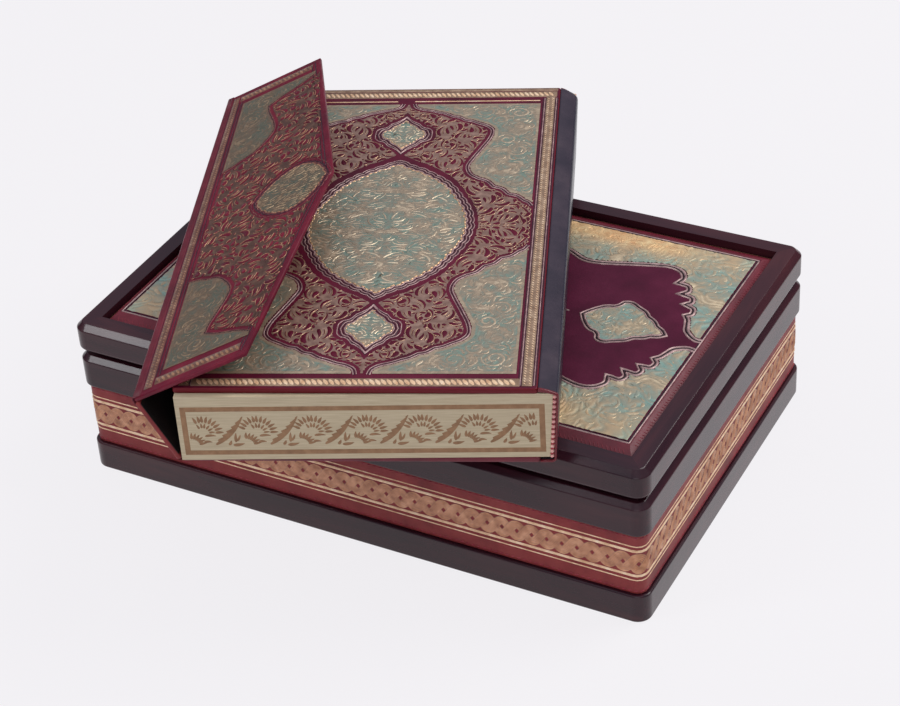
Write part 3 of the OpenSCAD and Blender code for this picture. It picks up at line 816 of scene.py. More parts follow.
def wisps(low, high, inside, seed, sizes, gap, tries, sway=0.3, bend=0.9):
    """Wavy strokes that run across a field."""
    field = Packing(low, high, inside, seed)
    vary = field.random.uniform
    for length, width in sizes:
        for spot in field.spots(tries):
            curl = field.side() * bend * vary(0.4, 1.3)
            heading = field.random.normal(0, sway) - curl / 2
            heading += math.pi if field.side() > 0 else 0.0
            field.lay(leaf_path(spot, heading, length * vary(0.7, 1.2), curl), leaf_width(width), gap)
    return field.strokes


def lay_strokes(shape, at, strokes, centre, signs, height, base, tint=(0.7, 1.0), warm_and_shade=None, flat=False):
    """Raises strokes as leaves, mirrored by each pair of signs about the centre."""
    for path, width in strokes:
        rise = height * RANDOM.uniform(0.8, 1.15)
        shade = RANDOM.uniform(*tint)
        for sign in signs:
            leaf = path * sign
            glow = warm_and_shade(*leaf.T)[:, None] if warm_and_shade else 0.0
            shape.ribbon(at, leaf + centre, width, base + rise, base - 0.05, shade, warm_and_shade=glow, flat=flat)


def relief(shape, at, loop, centre, signs, step, base, depth, seed, scale, warm_and_shade=None, margin=0.0):
    """A pressed panel inside an outline: curling ridges over a mottled ground, with a plain margin."""
    x, y = grid_of(loop.min(0), loop.max(0) + step, step)
    broad = Noise(seed)
    fine = Noise(seed + 1)
    wx = x / scale + 0.8 * fine(x / scale * 1.7 + 9, y / scale * 1.7)
    wy = y / scale + 0.8 * fine(x / scale * 1.7, y / scale * 1.7 + 17)
    level = broad(wx, wy) + 0.25 * fine(wx * 2.3, wy * 2.3)
    ridge = np.abs(np.sin(level * math.pi * 5.5)) ** 1.5
    ground = broad(x / (scale * 0.75) + 31, y / (scale * 0.75) + 7)
    height = base + depth * ridge + 0.06 * (fine(x * 1.3, y * 1.3) - 0.5)
    tint = 0.02 + 0.55 * ground + 0.24 * ridge
    if margin:
        plain = ~in_loop(offset(loop, margin), x, y)
        height[plain] = base + 0.5 * depth
        tint[plain] = 0.62
    shape.patch(at, x, y, in_loop(loop, x, y), height, centre, signs, tint, warm_and_shade)


def foil_panel(name, material, body, node, at, loop, strokes=(), signs=ONE, leaf_signs=None,
               rise=0.0, floor=0.0, tint=(0.7, 1.0), warm_and_shade=None, centres=(MIDDLE,), **press):
    """A foil panel that stands for a node, with raised strokes on its relief."""
    shape = Shape()
    for centre in centres:
        relief(shape, at, loop, centre, signs, warm_and_shade=warm_and_shade, **press)
        lay_strokes(shape, at, strokes, centre, leaf_signs or signs, rise, floor, tint, warm_and_shade)
    shape.make(name, material, body, (node,))


def gilt_field(part, body, at, centre, signs, low, high, inside, cuts, vein, sheet_gilt, highlight_gilt, ground):
    """A gilt field: its sheet, raised ridges along its leaves in a lighter gilt that is a painted highlight,
    and the leather in the openings between.
    """
    sheet = Shape()
    x, y = grid_of(low, high, FIELD_STEP)
    sheet.patch(at, x, y, inside(x, y, -FIELD_LAP), FIELD_H, centre, signs)
    sheet.make(part + "_arabesque", sheet_gilt, body)
    ridges = []
    # Raised ridges beside the openings, given a lighter gilt as a painted highlight of the leaf edges.
    for path, wide in cuts:
        ridges.append((path + sides_of(path) * (wide / 2 + VEIN_GAP)[:, None], leaf_width(vein, len(path))))
    edges = Shape()
    lay_strokes(edges, at, ridges, centre, signs, VEIN_RISE, CUT_FLOOR)
    edges.make(part + "_arabesque_highlight_edges", highlight_gilt, body)
    cut = Shape()
    lay_strokes(cut, at, cuts, centre, signs, CUT_RISE, CUT_FLOOR, flat=True)
    cut.make(part + "_arabesque_ground", ground, body)


def contour(shape, at, path, rows, height, centre=MIDDLE, signs=ONE, closed=True, flat=False):
    """Lines beside an outline, each with its distance and its width."""
    for sign in signs:
        for distance, width in rows:
            line = offset(path, distance, closed) * sign + centre
            shape.ribbon(at, line, width, height, closed=closed, flat=flat)


def row_of(shape, at, a, b, pitch, length, width, height, slant, base=0.0):
    """A row of short slanted bars along a line."""
    a = np.asarray(a, float)
    total = np.linalg.norm(b - a)
    along = (b - a) / total
    left = np.array([-along[1], along[0]])
    count = int(total // pitch)
    first = (total - (count - 1) * pitch) / 2
    swell = np.array([0.35, 0.9, 1.0, 0.9, 0.35])
    bar = (math.cos(slant) * along + math.sin(slant) * left) * length * np.linspace(-0.5, 0.5, 5)[:, None]
    for i in range(count):
        middle = a + along * (first + i * pitch)
        shape.ribbon(at, middle + bar, width * swell, base + height * swell, base - 0.05)


def beads(shape, at, loop, pitch, length, width, height):
    """A row of short rounded strokes along a closed outline."""
    path = resample(loop, pitch)
    ahead = np.roll(path, -1, 0) - np.roll(path, 1, 0)
    ahead = ahead / np.linalg.norm(ahead, axis=1)[:, None]
    swell = np.array([0.3, 0.9, 1.0, 0.9, 0.3])
    for point, way in zip(path, ahead):
        stroke = point + way * length * np.linspace(-0.5, 0.5, 5)[:, None]
        shape.ribbon(at, stroke, width * swell, height * swell)


# Front cover

COVER_X = 79.2
COVER_Y = 134.5
COVER_LIMITS = ((0.0, 0.0), (COVER_X, COVER_Y))
COVER_FIELD = outline(
    [(4, 134.5), (5.2, 130), (9, 127), (14, 125.2), (19, 122.6)],
    [(23, 120.8), (27, 117.6)],
    [(31, 116.4), (35, 112.8)],
    [(39, 111.6), (43, 109), (49, 105), (52, 99.5), (51, 91),
     (47, 80), (42.5, 68.5), (40, 60), (42, 52.5), (46.5, 48.2)],
    [(52, 45.2), (56, 39.6)],
    [(61, 37.2), (65, 32)],
    [(70, 30), (74.5, 25.2)],
    [(77, 23.4), (79.2, 19.6)],
)
COVER_SPANDREL = turned_left(np.vstack([COVER_FIELD, [[COVER_X, COVER_Y]]]))
MEDALLION_PLAIN = mirrored_loop(outline(
    [(0, 64.5), (6, 59.8), (14, 54.8), (27, 42.2), (35.2, 27), (40.4, 13.4), (42.2, 0)],
))
COVER_MEDALLION = scalloped(MEDALLION_PLAIN, 6.6, 1.1)
PENDANT_Y = 95.5
PENDANT_PLACES = ((0.0, PENDANT_Y), (0.0, -PENDANT_Y))
PENDANT_OUTER = mirrored_loop(outline(
    [(0, 21.4), (2.6, 17.4), (6, 14)],
    [(8, 12.6), (9.4, 10)],
    [(11.2, 8), (14, 6.9), (15.9, 4.2), (16.2, 0)],
))
PENDANT_INNER = mirrored_loop(outline(
    [(0, 16.8), (2.2, 13.4), (4.8, 10.8)],
    [(6.4, 9.4), (7.5, 7)],
    [(9.2, 5), (11.4, 4), (12.6, 0)],
))
PATTERN_ROWS = (-134.5, -95, 0, 60, 100, 120, 134.5)
PATTERN_SHIFTS = (-3.6, -2.9, -2.0, 0.0, 0.2, -0.8, -3.4)


def on_pattern(a, b, h):
    """Places the cover's pattern, whose axis sits towards the spine and whose lower part sits to the tail."""
    a, b, h = arrays(a, b, h)
    aside = (2.2 - 0.4 * b / COVER_Y) * (1 - np.clip(np.abs(a) / COVER_X, 0, 1) ** 2)
    return on_cover(a + aside, b + np.interp(b, PATTERN_ROWS, PATTERN_SHIFTS), h)


def on_middle(a, b, h):
    """Places the cover's medallion."""
    return on_cover(a + 2.1, b - 1.9, h)


def in_cover_field(x, y, seam=0.6):
    """The maroon field of one quadrant, clear of the onlays and their lines."""
    inside = (x > seam) & (y > seam) & (x < COVER_X - 0.8) & (y < COVER_Y - 1)
    inside &= ~in_loop(offset(COVER_SPANDREL, -3.4), x, y)
    inside &= ~in_loop(offset(MEDALLION_PLAIN, -7.2), x, y)
    inside &= ~in_loop(offset(PENDANT_OUTER, -2.2) + PENDANT_PLACES[0], x, y)
    return inside


def cover_skin(name, material, node, inner_low):
    """A cover's leather with soft edges, wrapped round its board and turned in on the inner side."""
    profile = [(15.0, 0.6), (15.0, 0.0), (5.0, 0.0), (0.9, 0.0), (0.42, 0.1), (0.1, 0.42), (0.0, 0.9)]
    profile += [(0.0, COVER_T - 0.9), (0.1, COVER_T - 0.42), (0.42, COVER_T - 0.1), (0.9, COVER_T)]
    loops = []
    for inset, height in profile:
        u, v = rounded_rect(COVER_W - 2 * inset, BOOK_H - 2 * inset, 1.6 - min(inset, 1.5)).T
        level = height + (BOOK_T - COVER_T) if inner_low else COVER_T - height
        loops.append(at_book(u + MID_U, v + MID_V, level)[::1 if inner_low else -1])
    edge = [not (i > 5 and 0.5 < inset < 9.0) for i, (inset, height) in enumerate(profile)]
    shape = Shape()
    shape.loft(loops, np.array(edge, float)[:, None], first_cap=False)
    shape.make(name, material, "book", (node,))


cover_skin("front_cover", COVER_LEATHER, "front_cover_leather", True)
cover_skin("back_cover", EDGE_LEATHER, "back_cover_leather", False)

foil_panel(
    "cover_corner_relief", COVER_FOIL, "book", "cover_corner_onlays", on_pattern, offset(COVER_SPANDREL, 0.5),
    scrolls(*COVER_LIMITS, within(COVER_SPANDREL, 3.4), 22, (7.0, 5.6),
            [(9.5, 1.9, 2.4), (7.0, 1.6, 2.2), (5.0, 1.3, 1.9), (3.4, 1.0, 1.5)], 1.7, 0.4, 520),
    ALL_FOUR, rise=0.16, floor=0.14, tint=(0.46, 0.72),
    step=0.6, base=0.08, depth=0.2, seed=21, scale=8.0, margin=2.4,
)
foil_panel(
    "cover_medallion_relief", COVER_FOIL, "book", "cover_medallion", on_middle, offset(COVER_MEDALLION, 0.4),
    wisps((0, -67), (47, 67), within(MEDALLION_PLAIN, 1.4, 0), 32,
          [(8.5, 1.25), (6.0, 1.1), (4.0, 0.9), (2.6, 0.7)], 0.42, 1000, 0.45, 1.3),
    leaf_signs=SIDES, rise=0.18, floor=0.12, tint=(0.42, 0.92),
    step=0.6, base=0.08, depth=0.16, seed=31, scale=7.0,
)
foil_panel(
    "cover_pendant_relief", COVER_FOIL, "book", "cover_pendants", on_pattern, PENDANT_INNER,
    wisps((0, -20), (14, 20), within(PENDANT_INNER, 1.2, 0), 42,
          [(5.0, 0.9), (3.2, 0.7)], 0.6, 300, 0.8, 1.6),
    leaf_signs=SIDES, rise=0.2, floor=0.14, centres=PENDANT_PLACES,
    step=0.5, base=0.08, depth=0.2, seed=41, scale=9.0,
)

cover_rings = dashes((67.5, 0.0), (7.0, 13.5), ((14, 52), (66, 114), (128, 166)), 1.3)
cover_rings += dashes((67.5, 0.0), (11.6, 20.5), ((36, 66), (76, 104), (114, 140), (150, 172)), 1.4)
cover_rings += dashes((15.0, 71.5), (3.2, 4.4), ((-60, 40), (60, 160), (180, 280)), 1.1)
cover_rings += dashes((9.8, 117.0), (2.4, 3.6), ((-40, 70), (90, 200), (220, 300)), 1.0)
cover_rings += dashes((27.0, 84.0), (4.4, 6.0), ((-70, 10), (30, 110), (130, 210)), 1.2)
cover_cuts = openings(
    *COVER_LIMITS, in_cover_field, 51, cover_rings, [(10.0, 3.4, 1.3), (7.5, 2.7, 1.2), (5.5, 2.1, 1.0)],
    [(6.0, 2.9, 1.6), (4.4, 2.4, 1.4), (3.2, 1.9, 1.1), (2.2, 1.5, 0.8), (1.5, 1.15, 0.4)],
    0.27, 3200, 24, 1.95
)
gilt_field("cover", "book", on_pattern, MIDDLE, ALL_FOUR, *COVER_LIMITS, in_cover_field, cover_cuts,
           0.5, ARABESQUE, LEAF_HIGHLIGHT_GILT, FIELD_LEATHER)

SIDE_X = 84.1
SIDE_TAIL = -147.0
SIDE_HEAD = 137.0
lines = Shape()
grooves = Shape()
rims = Shape()
contour(lines, on_pattern, COVER_FIELD, ((0.0, 0.8), (-1.6, 0.55)), LINE_H, signs=ALL_FOUR, closed=False)
contour(grooves, on_pattern, COVER_FIELD, ((-0.82, 0.7),), GROOVE_H, signs=ALL_FOUR, closed=False, flat=True)
for place in PENDANT_PLACES:
    contour(lines, on_pattern, PENDANT_INNER, ((0.0, 0.75), (-1.9, 0.6)), LINE_H, place)
    contour(lines, on_pattern, PENDANT_OUTER, ((0.0, 0.6),), LINE_H, place)
    contour(grooves, on_pattern, PENDANT_INNER, ((-0.95, 0.7), (-2.7, 0.7)), GROOVE_H, place, flat=True)
contour(lines, on_middle, COVER_MEDALLION, ((0.0, 0.9), (-1.9, 0.7), (-3.6, 0.55)), 0.26)
contour(grooves, on_middle, COVER_MEDALLION, ((-0.95, 0.8), (-2.75, 0.7)), GROOVE_H, flat=True)
beads(rims, on_middle, offset(COVER_MEDALLION, 0.95), 3.0, 2.8, 1.2, 0.45)
for place in PENDANT_PLACES:
    beads(rims, on_pattern, offset(PENDANT_INNER, 0.8) + place, 2.8, 2.6, 1.0, 0.42)
for sign in (1, -1):
    for x, width in ((80.7, 0.7), (87.5, 0.6)):
        lines.ribbon(on_cover, straight((sign * x, SIDE_TAIL), (sign * x, SIDE_HEAD)), width, 0.2)
    for x in (79.9, 81.3, 86.9, 88.2):
        grooves.ribbon(on_cover, straight((sign * x, SIDE_TAIL), (sign * x, SIDE_HEAD)), 0.6, 0.08, flat=True)
lines.make("cover_lines", LINE_GILT, "book")
rims.make("cover_rims", RIM_GILT, "book")
grooves.make("cover_grooves", GROOVE_LEATHER, "book")

borders = Shape()
bright = Shape()
for y, reach, width in ((141.6, 87.6, 1.9), (-144.2, 80.6, 2.3)):
    borders.ribbon(on_cover, straight((-reach, y), (reach, y)), 6.6, 0.14, flat=True)
    row_of(bright, on_cover, (-reach + 1, y), (reach - 1, y), 2.85, 5.0, width, 0.3, -1.05, 0.1)
borders.ribbon(on_cover, straight((-88, 147.0), (88, 147.0)), 3.0, 0.1, flat=True)
for sign in (1, -1):
    strip = straight((sign * SIDE_X, SIDE_TAIL - 0.4), (sign * SIDE_X, SIDE_HEAD + 1.6))
    borders.ribbon(on_cover, strip, 5.2, 0.16, flat=True)
    for x in (SIDE_X - 1.3, SIDE_X + 1.3):
        start = (sign * x, SIDE_TAIL)
        row_of(bright, on_cover, start, (sign * x, SIDE_HEAD + 1), 2.1, 1.7, 0.7, 0.12, 0.75, 0.14)
    bright.ribbon(on_cover, straight((sign * 78, 134.0), (sign * 5, 134.0)), 0.9, 0.26)
borders.make("cover_borders", BORDER_GILT, "book")
bright.make("cover_rope", BRIGHT_GILT, "book")


# Envelope flap

FLAP_CENTRE = (0.0, MID_V)
FLAP_LIMITS = ((14, 0.0), (92, 138))
FLAP_EDGE = turned_left(np.array([
    (0.0, 0.0), (ENV_SIDE, 0.0), (ENV_POINT, MID_V), (ENV_SIDE, BOOK_H), (0.0, BOOK_H),
]))
FLAP_PANEL = outline(
    [(15.5, 94.5), (22, 92.6), (28, 89.5)],
    [(35, 86.8), (41, 80), (45.4, 72), (46, 66), (44.6, 59), (41.5, 50), (38.6, 42), (37.4, 35)],
    [(44, 30.6), (52, 27.2), (60, 23.6), (66.4, 19.4)],
) - FLAP_CENTRE
FLAP_PANEL_LOOP = turned_left(np.vstack([FLAP_PANEL, [[66.6, 15 - MID_V], [15.5, 15 - MID_V]]]))
FLAP_ALMOND_PLAIN = mirrored_half(outline(
    [(47.5, 0), (51, 8), (58, 16.5), (69, 22.4), (79, 19.8), (86.5, 11.5), (91.5, 0)],
))
FLAP_ALMOND = scalloped(FLAP_ALMOND_PLAIN, 4.4, 0.7)
FLAP_FIELD = turned_left(np.array([
    (16.5, -136.0), (68.4, -136.0), (87.8, -4.0), (87.8, 4.0), (68.4, 136.0), (16.5, 136.0),
]))
FLAP_ROLL = (
    (0.9, -1.2), (0.42, -1.1), (0.1, -0.78), (0.0, -0.4),
    (0.0, 0.4), (0.1, 0.78), (0.42, 1.1), (0.9, 1.2),
)
LINING_ROLL = ((3.2, -0.18), (3.0, -0.1), (3.0, 0.1))


def flap_slab(name, material, profile, drop, replaces=()):
    """A slab with the flap's outline, from loops that are inset and raised."""
    shape = Shape()
    shape.loft([on_flap(*offset(FLAP_EDGE, inset).T, height - drop) for inset, height in profile])
    shape.make(name, material, "envelope_flap", replaces)


def in_flap_field(s, v, seam=0.5):
    """The upper half of the flap's field, clear of the panels and their lines."""
    inside = in_loop(FLAP_FIELD, s, v) & (v > seam)
    inside &= ~in_loop(offset(FLAP_PANEL_LOOP, -2.0) * [1, -1], s, v)
    inside &= ~in_loop(offset(FLAP_ALMOND_PLAIN, -4.2), s, v)
    return inside


flap_slab("envelope_flap_leather", FLAP_LEATHER, FLAP_ROLL, ENV_T / 2, ("envelope_flap",))
flap_slab("envelope_flap_lining", LINING, LINING_ROLL, ENV_T)
foil_panel(
    "flap_corner_relief", SHADED_FLAP_FOIL, "envelope_flap", "flap_corner_onlays", on_flap,
    offset(FLAP_PANEL_LOOP, 0.5),
    scrolls((14, -136), (68, -50), within(FLAP_PANEL_LOOP, 2.4), 62, (6.0,),
            [(8.0, 1.2, 2.2), (6.0, 1.05, 2.0), (4.2, 0.9, 1.6), (2.8, 0.7, 1.3)], 1.2, 0.5, 420),
    HALVES, rise=0.16, floor=0.14, tint=(0.4, 0.75), centres=(FLAP_CENTRE,),
    step=0.6, base=0.08, depth=0.2, seed=61, scale=8.0, margin=1.6,
)
foil_panel(
    "flap_medallion_relief", SHADED_FLAP_FOIL, "envelope_flap", "flap_medallion", on_flap, offset(FLAP_ALMOND, 0.4),
    wisps((47, 0), (92, 23), within(FLAP_ALMOND_PLAIN, 1.2, 1), 72,
          [(6.0, 1.0), (4.2, 0.85), (2.8, 0.7)], 0.6, 300),
    leaf_signs=HALVES, rise=0.2, floor=0.14, tint=(0.6, 0.95), centres=(FLAP_CENTRE,),
    step=0.6, base=0.08, depth=0.16, seed=71, scale=7.0,
)
flap_cuts = openings(
    *FLAP_LIMITS, in_flap_field, 81, [], [(9.0, 2.6, 1.3), (7.0, 2.1, 1.2), (5.0, 1.7, 1.0)],
    [(6.4, 3.5, 1.6), (4.6, 3.0, 1.4), (3.4, 2.5, 1.1), (2.4, 1.9, 0.8), (1.6, 1.4, 0.4)], 0.26, 2600, 18, 2.2
)
gilt_field("flap", "envelope_flap", on_flap, FLAP_CENTRE, HALVES, *FLAP_LIMITS, in_flap_field, flap_cuts,
           0.45, SHADED_FLAP_GILT, SHADED_FLAP_ROPE, FLAP_LEATHER)

flap_lines = Shape()
flap_grooves = Shape()
flap_rims = Shape()
contour(flap_lines, on_flap, FLAP_PANEL, ((0.0, 0.7), (-1.5, 0.45)), LINE_H, FLAP_CENTRE, HALVES, False)
contour(flap_grooves, on_flap, FLAP_PANEL, ((-0.75, 0.7),), GROOVE_H, FLAP_CENTRE, HALVES, False, True)
contour(flap_lines, on_flap, FLAP_ALMOND, ((0.0, 0.8), (-2.8, 0.45)), LINE_H, FLAP_CENTRE)
contour(flap_grooves, on_flap, FLAP_ALMOND, ((-0.95, 0.8),), GROOVE_H, FLAP_CENTRE, flat=True)
beads(flap_rims, on_flap, offset(FLAP_ALMOND, 0.95) + FLAP_CENTRE, 2.8, 2.5, 1.0, 0.4)
for inset in (3.6, 5.6):
    flap_grooves.ribbon(on_flap, offset(FLAP_EDGE, inset)[1:4], 0.7, GROOVE_H, flat=True)
for s in (4.6, 12.4, 14.6):
    flap_grooves.ribbon(on_flap, straight((s, 12), (s, BOOK_H - 12)), 0.6, GROOVE_H, flat=True)
flap_lines.make("flap_lines", SHADED_FLAP_LINE, "envelope_flap")
flap_rims.make("flap_rims", SHADED_FLAP_ROPE, "envelope_flap")
flap_grooves.make("flap_grooves", GROOVE_LEATHER, "envelope_flap")

flap_border = Shape()
flap_rope = Shape()
flap_border.ribbon(on_flap, straight((8.6, 4), (8.6, BOOK_H - 4)), 6.0, 0.16, flat=True)
for s in (7.2, 10.0):
    row_of(flap_rope, on_flap, (s, 5), (s, BOOK_H - 5), 2.3, 1.9, 0.9, 0.16, 0.75, 0.12)
for v in (8.0, BOOK_H - 8.0):
    flap_border.ribbon(on_flap, straight((13, v), (62.5, v)), 6.0, 0.16, flat=True)
    row_of(flap_rope, on_flap, (13, v), (62.5, v), 2.85, 4.8, 1.6, 0.3, -1.05, 0.1)
flap_border.make("flap_borders", SHADED_FLAP_BORDER, "envelope_flap")
flap_rope.make("flap_rope", SHADED_FLAP_ROPE, "envelope_flap")


# Fore-edge flap and its folds

def fore_slab(name, material, lift, l0, l1, thick, edge, replaces=()):
    """A soft-edged slab between two distances on the fore-edge flap, leant in by the drawn fold."""
    origin = at_book(FOLD_1[0], 0.0, FOLD_1[1]) - lift * in_scene(FORE_OUT)
    loops = []
    upper = [(0.0, 0.5), (edge * 0.4, 0.9), (edge, 1.0)]
    lower = [(inset, -height) for inset, height in upper[::-1]]
    for inset, height in lower + upper:
        ring = rounded_rect(l1 - l0 - 2 * inset, BOOK_H - 2 * inset, 0.8)
        reach = ring[:, :1] + (l0 + l1) / 2
        place = ring[:, 1:] + MID_V
        flat = origin + reach * in_scene(FORE_DIR) + place * BOOK_V - height * thick / 2 * in_scene(FORE_OUT)
        loops.append(flat + fold_pull(place) * reach / FORE_L * ENV_S)
    shape = Shape()
    shape.loft(loops[::-1])
    shape.make(name, material, "fore_edge_flap", replaces)


def fold_sheet(name, material, runs, centre, radius, angles, thickness, shares, reach):
    """Leather that bends over a fold, from one flat run over an arc to the next, drawn in by its shares."""
    out = unit(np.radians(np.linspace(*angles, 8)))
    points = np.vstack([runs[0][0], centre + radius * out, runs[1][0]])
    flats = [np.tile(normal, (len(run), 1)) for run, normal in runs]
    normals = np.vstack([flats[0], out, flats[1]])
    drawn = np.concatenate([shares[0], np.full(len(out), shares[1]), shares[2]])
    taper = np.ones(len(points))
    taper[[0, -1]] = 0.25
    ring = np.vstack([points, (points + normals * (thickness * taper)[:, None])[::-1]])
    share = np.concatenate([drawn, drawn[::-1]])[:, None]
    loops = []
    for v in np.linspace(0.4, BOOK_H - 0.4, 24):
        loops.append(at_book(ring[:, 0], v, ring[:, 1]) + fold_pull(v) * share * ENV_S)
    shape = Shape()
    shape.loft(loops[::-1])
    sheet = shape.make(name, material, None)
    start, end = (tuple(at_book(p[0], MID_V, p[1]) * MM) for p in reach)
    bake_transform(sheet)


def run_of(start, way, out, thickness, steps):
    """A flat run beside a fold: its points on a flap's outer face and their direction."""
    return [start + d * way + out * thickness / 2 for d in steps], out


UPPER_IN = (7.0, 5.0, 3.0, 1.6)
UPPER_OUT = (0.8, 2.0, 3.4, 4.6)
LOWER_OUT = (0.8, 2.5, 5.0, 7.0)
HALF_BLEND = 1.6
fore_slab("fore_edge_flap_leather", BAND_LEATHER, 0.0, -0.6, FORE_L - 1.5, FORE_T, 0.6, ("fore_edge_flap",))
fore_slab("fore_edge_flap_lining", DOUBLURE, FORE_T / 2 + 0.05, 2.2, FORE_L - 3.0, 0.3, 0.2)
fold_sheet(
    "upper_fold_leather", EDGE_LEATHER,
    (run_of(FOLD_2, -FORE_DIR, FORE_OUT, FORE_T, UPPER_IN),
     run_of(FOLD_2, ENV_DIR, ENV_OUT, ENV_T, UPPER_OUT)),
    FOLD_2, 1.28, (207, 117), 0.35,
    ([1 - d / FORE_L for d in UPPER_IN], 1.0, [1 - d / PULL_REACH for d in UPPER_OUT]),
    (FOLD_2 - HALF_BLEND * FORE_DIR, FOLD_2 + HALF_BLEND * ENV_DIR),
)
fold_sheet(
    "lower_fold_leather", BAND_LEATHER,
    (([(0.9, 0.06), (-0.4, 0.1)], (0.0, -1.0)), run_of(FOLD_1, FORE_DIR, FORE_OUT, FORE_T, LOWER_OUT)),
    FOLD_1, 1.3, (262, 212), 0.2, ([0.0, 0.0], 0.0, [d / FORE_L for d in LOWER_OUT]),
    (FOLD_1 + [1.4, -0.6], FOLD_1 + HALF_BLEND * FORE_DIR),
)


# Spine, pages and bands

SPINE_POINTS = 22


def spine_line(depth):
    """The spine's section at a depth below its surface, from the back cover round to the front cover."""
    depth = np.broadcast_to(depth, (SPINE_POINTS,))
    low = SPINE_LOW + (SPINE_R - depth[1:8, None]) * unit(np.radians(np.linspace(-90, 0, 7)))
    top = SPINE_TOP + (SPINE_R - depth[8:15, None]) * unit(np.radians(np.linspace(0, 72, 7)))
    ending = np.array([COVER_W, BOOK_T - depth[-1]])
    shoulder = top[-1] + (ending - top[-1]) * np.linspace(0, 1, 8)[1:, None]
    shoulder[:, 1] += 0.35 * np.sin(np.linspace(0, math.pi, 8)[1:])
    return np.vstack([[(COVER_W, depth[0])], low, top, shoulder])


HEAD_ROUND = 0.42
HEAD_REACH = 6.5
turned_in = SPINE_T + 1.0 * np.clip((np.arange(SPINE_POINTS) - 13) / 4, 0, 1)
spine_steps = [(0.0, 0.5), (0.15, 0.2)] + [(v, 0.0) for v in (0.5, 0.9, 1.6, 3.0, 5.0, 7.0, 30.0)]
spine_loops = []
spine_tints = []
for at_head in (False, True):
    for v, shrink in spine_steps[::-1] if at_head else spine_steps:
        thick = turned_in if v < 0.6 else SPINE_T
        ring = np.vstack([spine_line(shrink), spine_line(thick - shrink)[::-1]])
        if at_head:
            narrow = 1 - HEAD_ROUND * max(0.0, 1 - v / HEAD_REACH) ** 2
            ring[:, 0] = COVER_W + (ring[:, 0] - COVER_W) * narrow
        spine_loops.append(at_book(ring[:, 0], BOOK_H - v if at_head else v, ring[:, 1]))
        spine_tints.append(1.0 if v < 1.0 else 0.0)
# Shares of painted shade across the spine's section, darkest over its round back.
PAINTED_SHADE_AT = (0, 7, 10, 13, 15, 16, 18, 21)
PAINTED_SHADE = (0.5, 0.5, 0.9, 0.8, 0.75, 0.6, 0.1, 0.0)
painted_shade = np.interp(np.arange(SPINE_POINTS), PAINTED_SHADE_AT, PAINTED_SHADE)
spine = Shape()
spine.loft(spine_loops[::-1], np.array(spine_tints)[::-1, None], np.concatenate([painted_shade[::-1], painted_shade])[::-1])
spine.make("spine_leather", SPINE_LEATHER, "book", ("spine",))

PAGE_GAP = 0.12
PAGE_LOW = COVER_T + 0.02
PAGE_TOP = BOOK_T - COVER_T - 0.02
page_back = spine_line(SPINE_T + PAGE_GAP)
page_back = page_back[(page_back[:, 1] > PAGE_LOW) & (page_back[:, 1] < PAGE_TOP)]
page_u, page_w = np.vstack([
    [(PAGE_IN, PAGE_LOW), (SPINE_LOW[0] + SPINE_R - SPINE_T - PAGE_GAP, PAGE_LOW)], page_back,
    [(page_back[-1, 0] - 0.2, PAGE_TOP), (PAGE_IN, PAGE_TOP)],
]).T
pages = Shape()
pages.loft([
    at_book(page_u, BOOK_H - PAGE_IN, page_w),
    at_book(page_u, PAGE_IN - PAGE_SKEW * (1 - page_u / PAGE_REACH), page_w),
])
pages.make("page_block", PAGES, "book", ("text_block",), smooth=False)


def twisted_band(name, v, out, node):
    """Head or tail band: slanted silk beads in two colours down the pages' back."""
    count = 13
    red = Shape()
    pale = Shape()
    place = plane(at_book(0.0, v, 0.0), BOOK_U, Z, out * BOOK_V)
    ring = np.linspace(0, 2 * math.pi, 10, endpoint=False)
    low = np.array([184.8, 3.9])
    high = np.array([187.0, 40.0])
    for i in range(2 * count - 1):
        middle = low + (high - low) * i / (2 * count - 2)
        lead = i % 2 == 0
        reach = np.array([1.0, 0.42]) if lead else np.array([1.15, 0.3])
        thick = (0.86, 0.75) if lead else (0.62, 0.3)
        rows = []
        for t in np.linspace(-1, 1, 7):
            size = math.sqrt(max(0.0, 1 - t * t)) + 0.02
            u, w = middle + reach * t
            rows.append(place(u - 0.25 * size * np.cos(ring), w + thick[0] * size * np.cos(ring),
                              thick[1] * size * np.sin(ring) + 0.2))
        (pale if lead else red).grid(np.stack(rows)[:, ::out], across=True)
    red.make(name + "_red", RED_SILK, "book", (node,))
    pale.make(name + "_pale", PALE_SILK, "book")


twisted_band("tail_band_silk", PAGE_IN, -1, "tail_band")
twisted_band("head_band_silk", BOOK_H - PAGE_IN, 1, "head_band")

PRINT_LEFT = 4.4
PRINT_RIGHT = 180.6
PRINT_LOW = 7.7
PRINT_HIGH = 34.2
PRINT_PITCH = 27.2
PRINT_EDGE = 2.4
PRINT_H = 0.05
FIRST_LEAF = 19.0
LEAF_LOW = 12.5
PRINT_FRAME = np.array([
    (PRINT_LEFT, PRINT_LOW), (PRINT_RIGHT, PRINT_LOW), (PRINT_RIGHT, PRINT_HIGH), (PRINT_LEFT, PRINT_HIGH),
])
prints = Shape()
prints.ribbon(on_tail, PRINT_FRAME, 2.8, PRINT_H, 0.0, closed=True, flat=True)


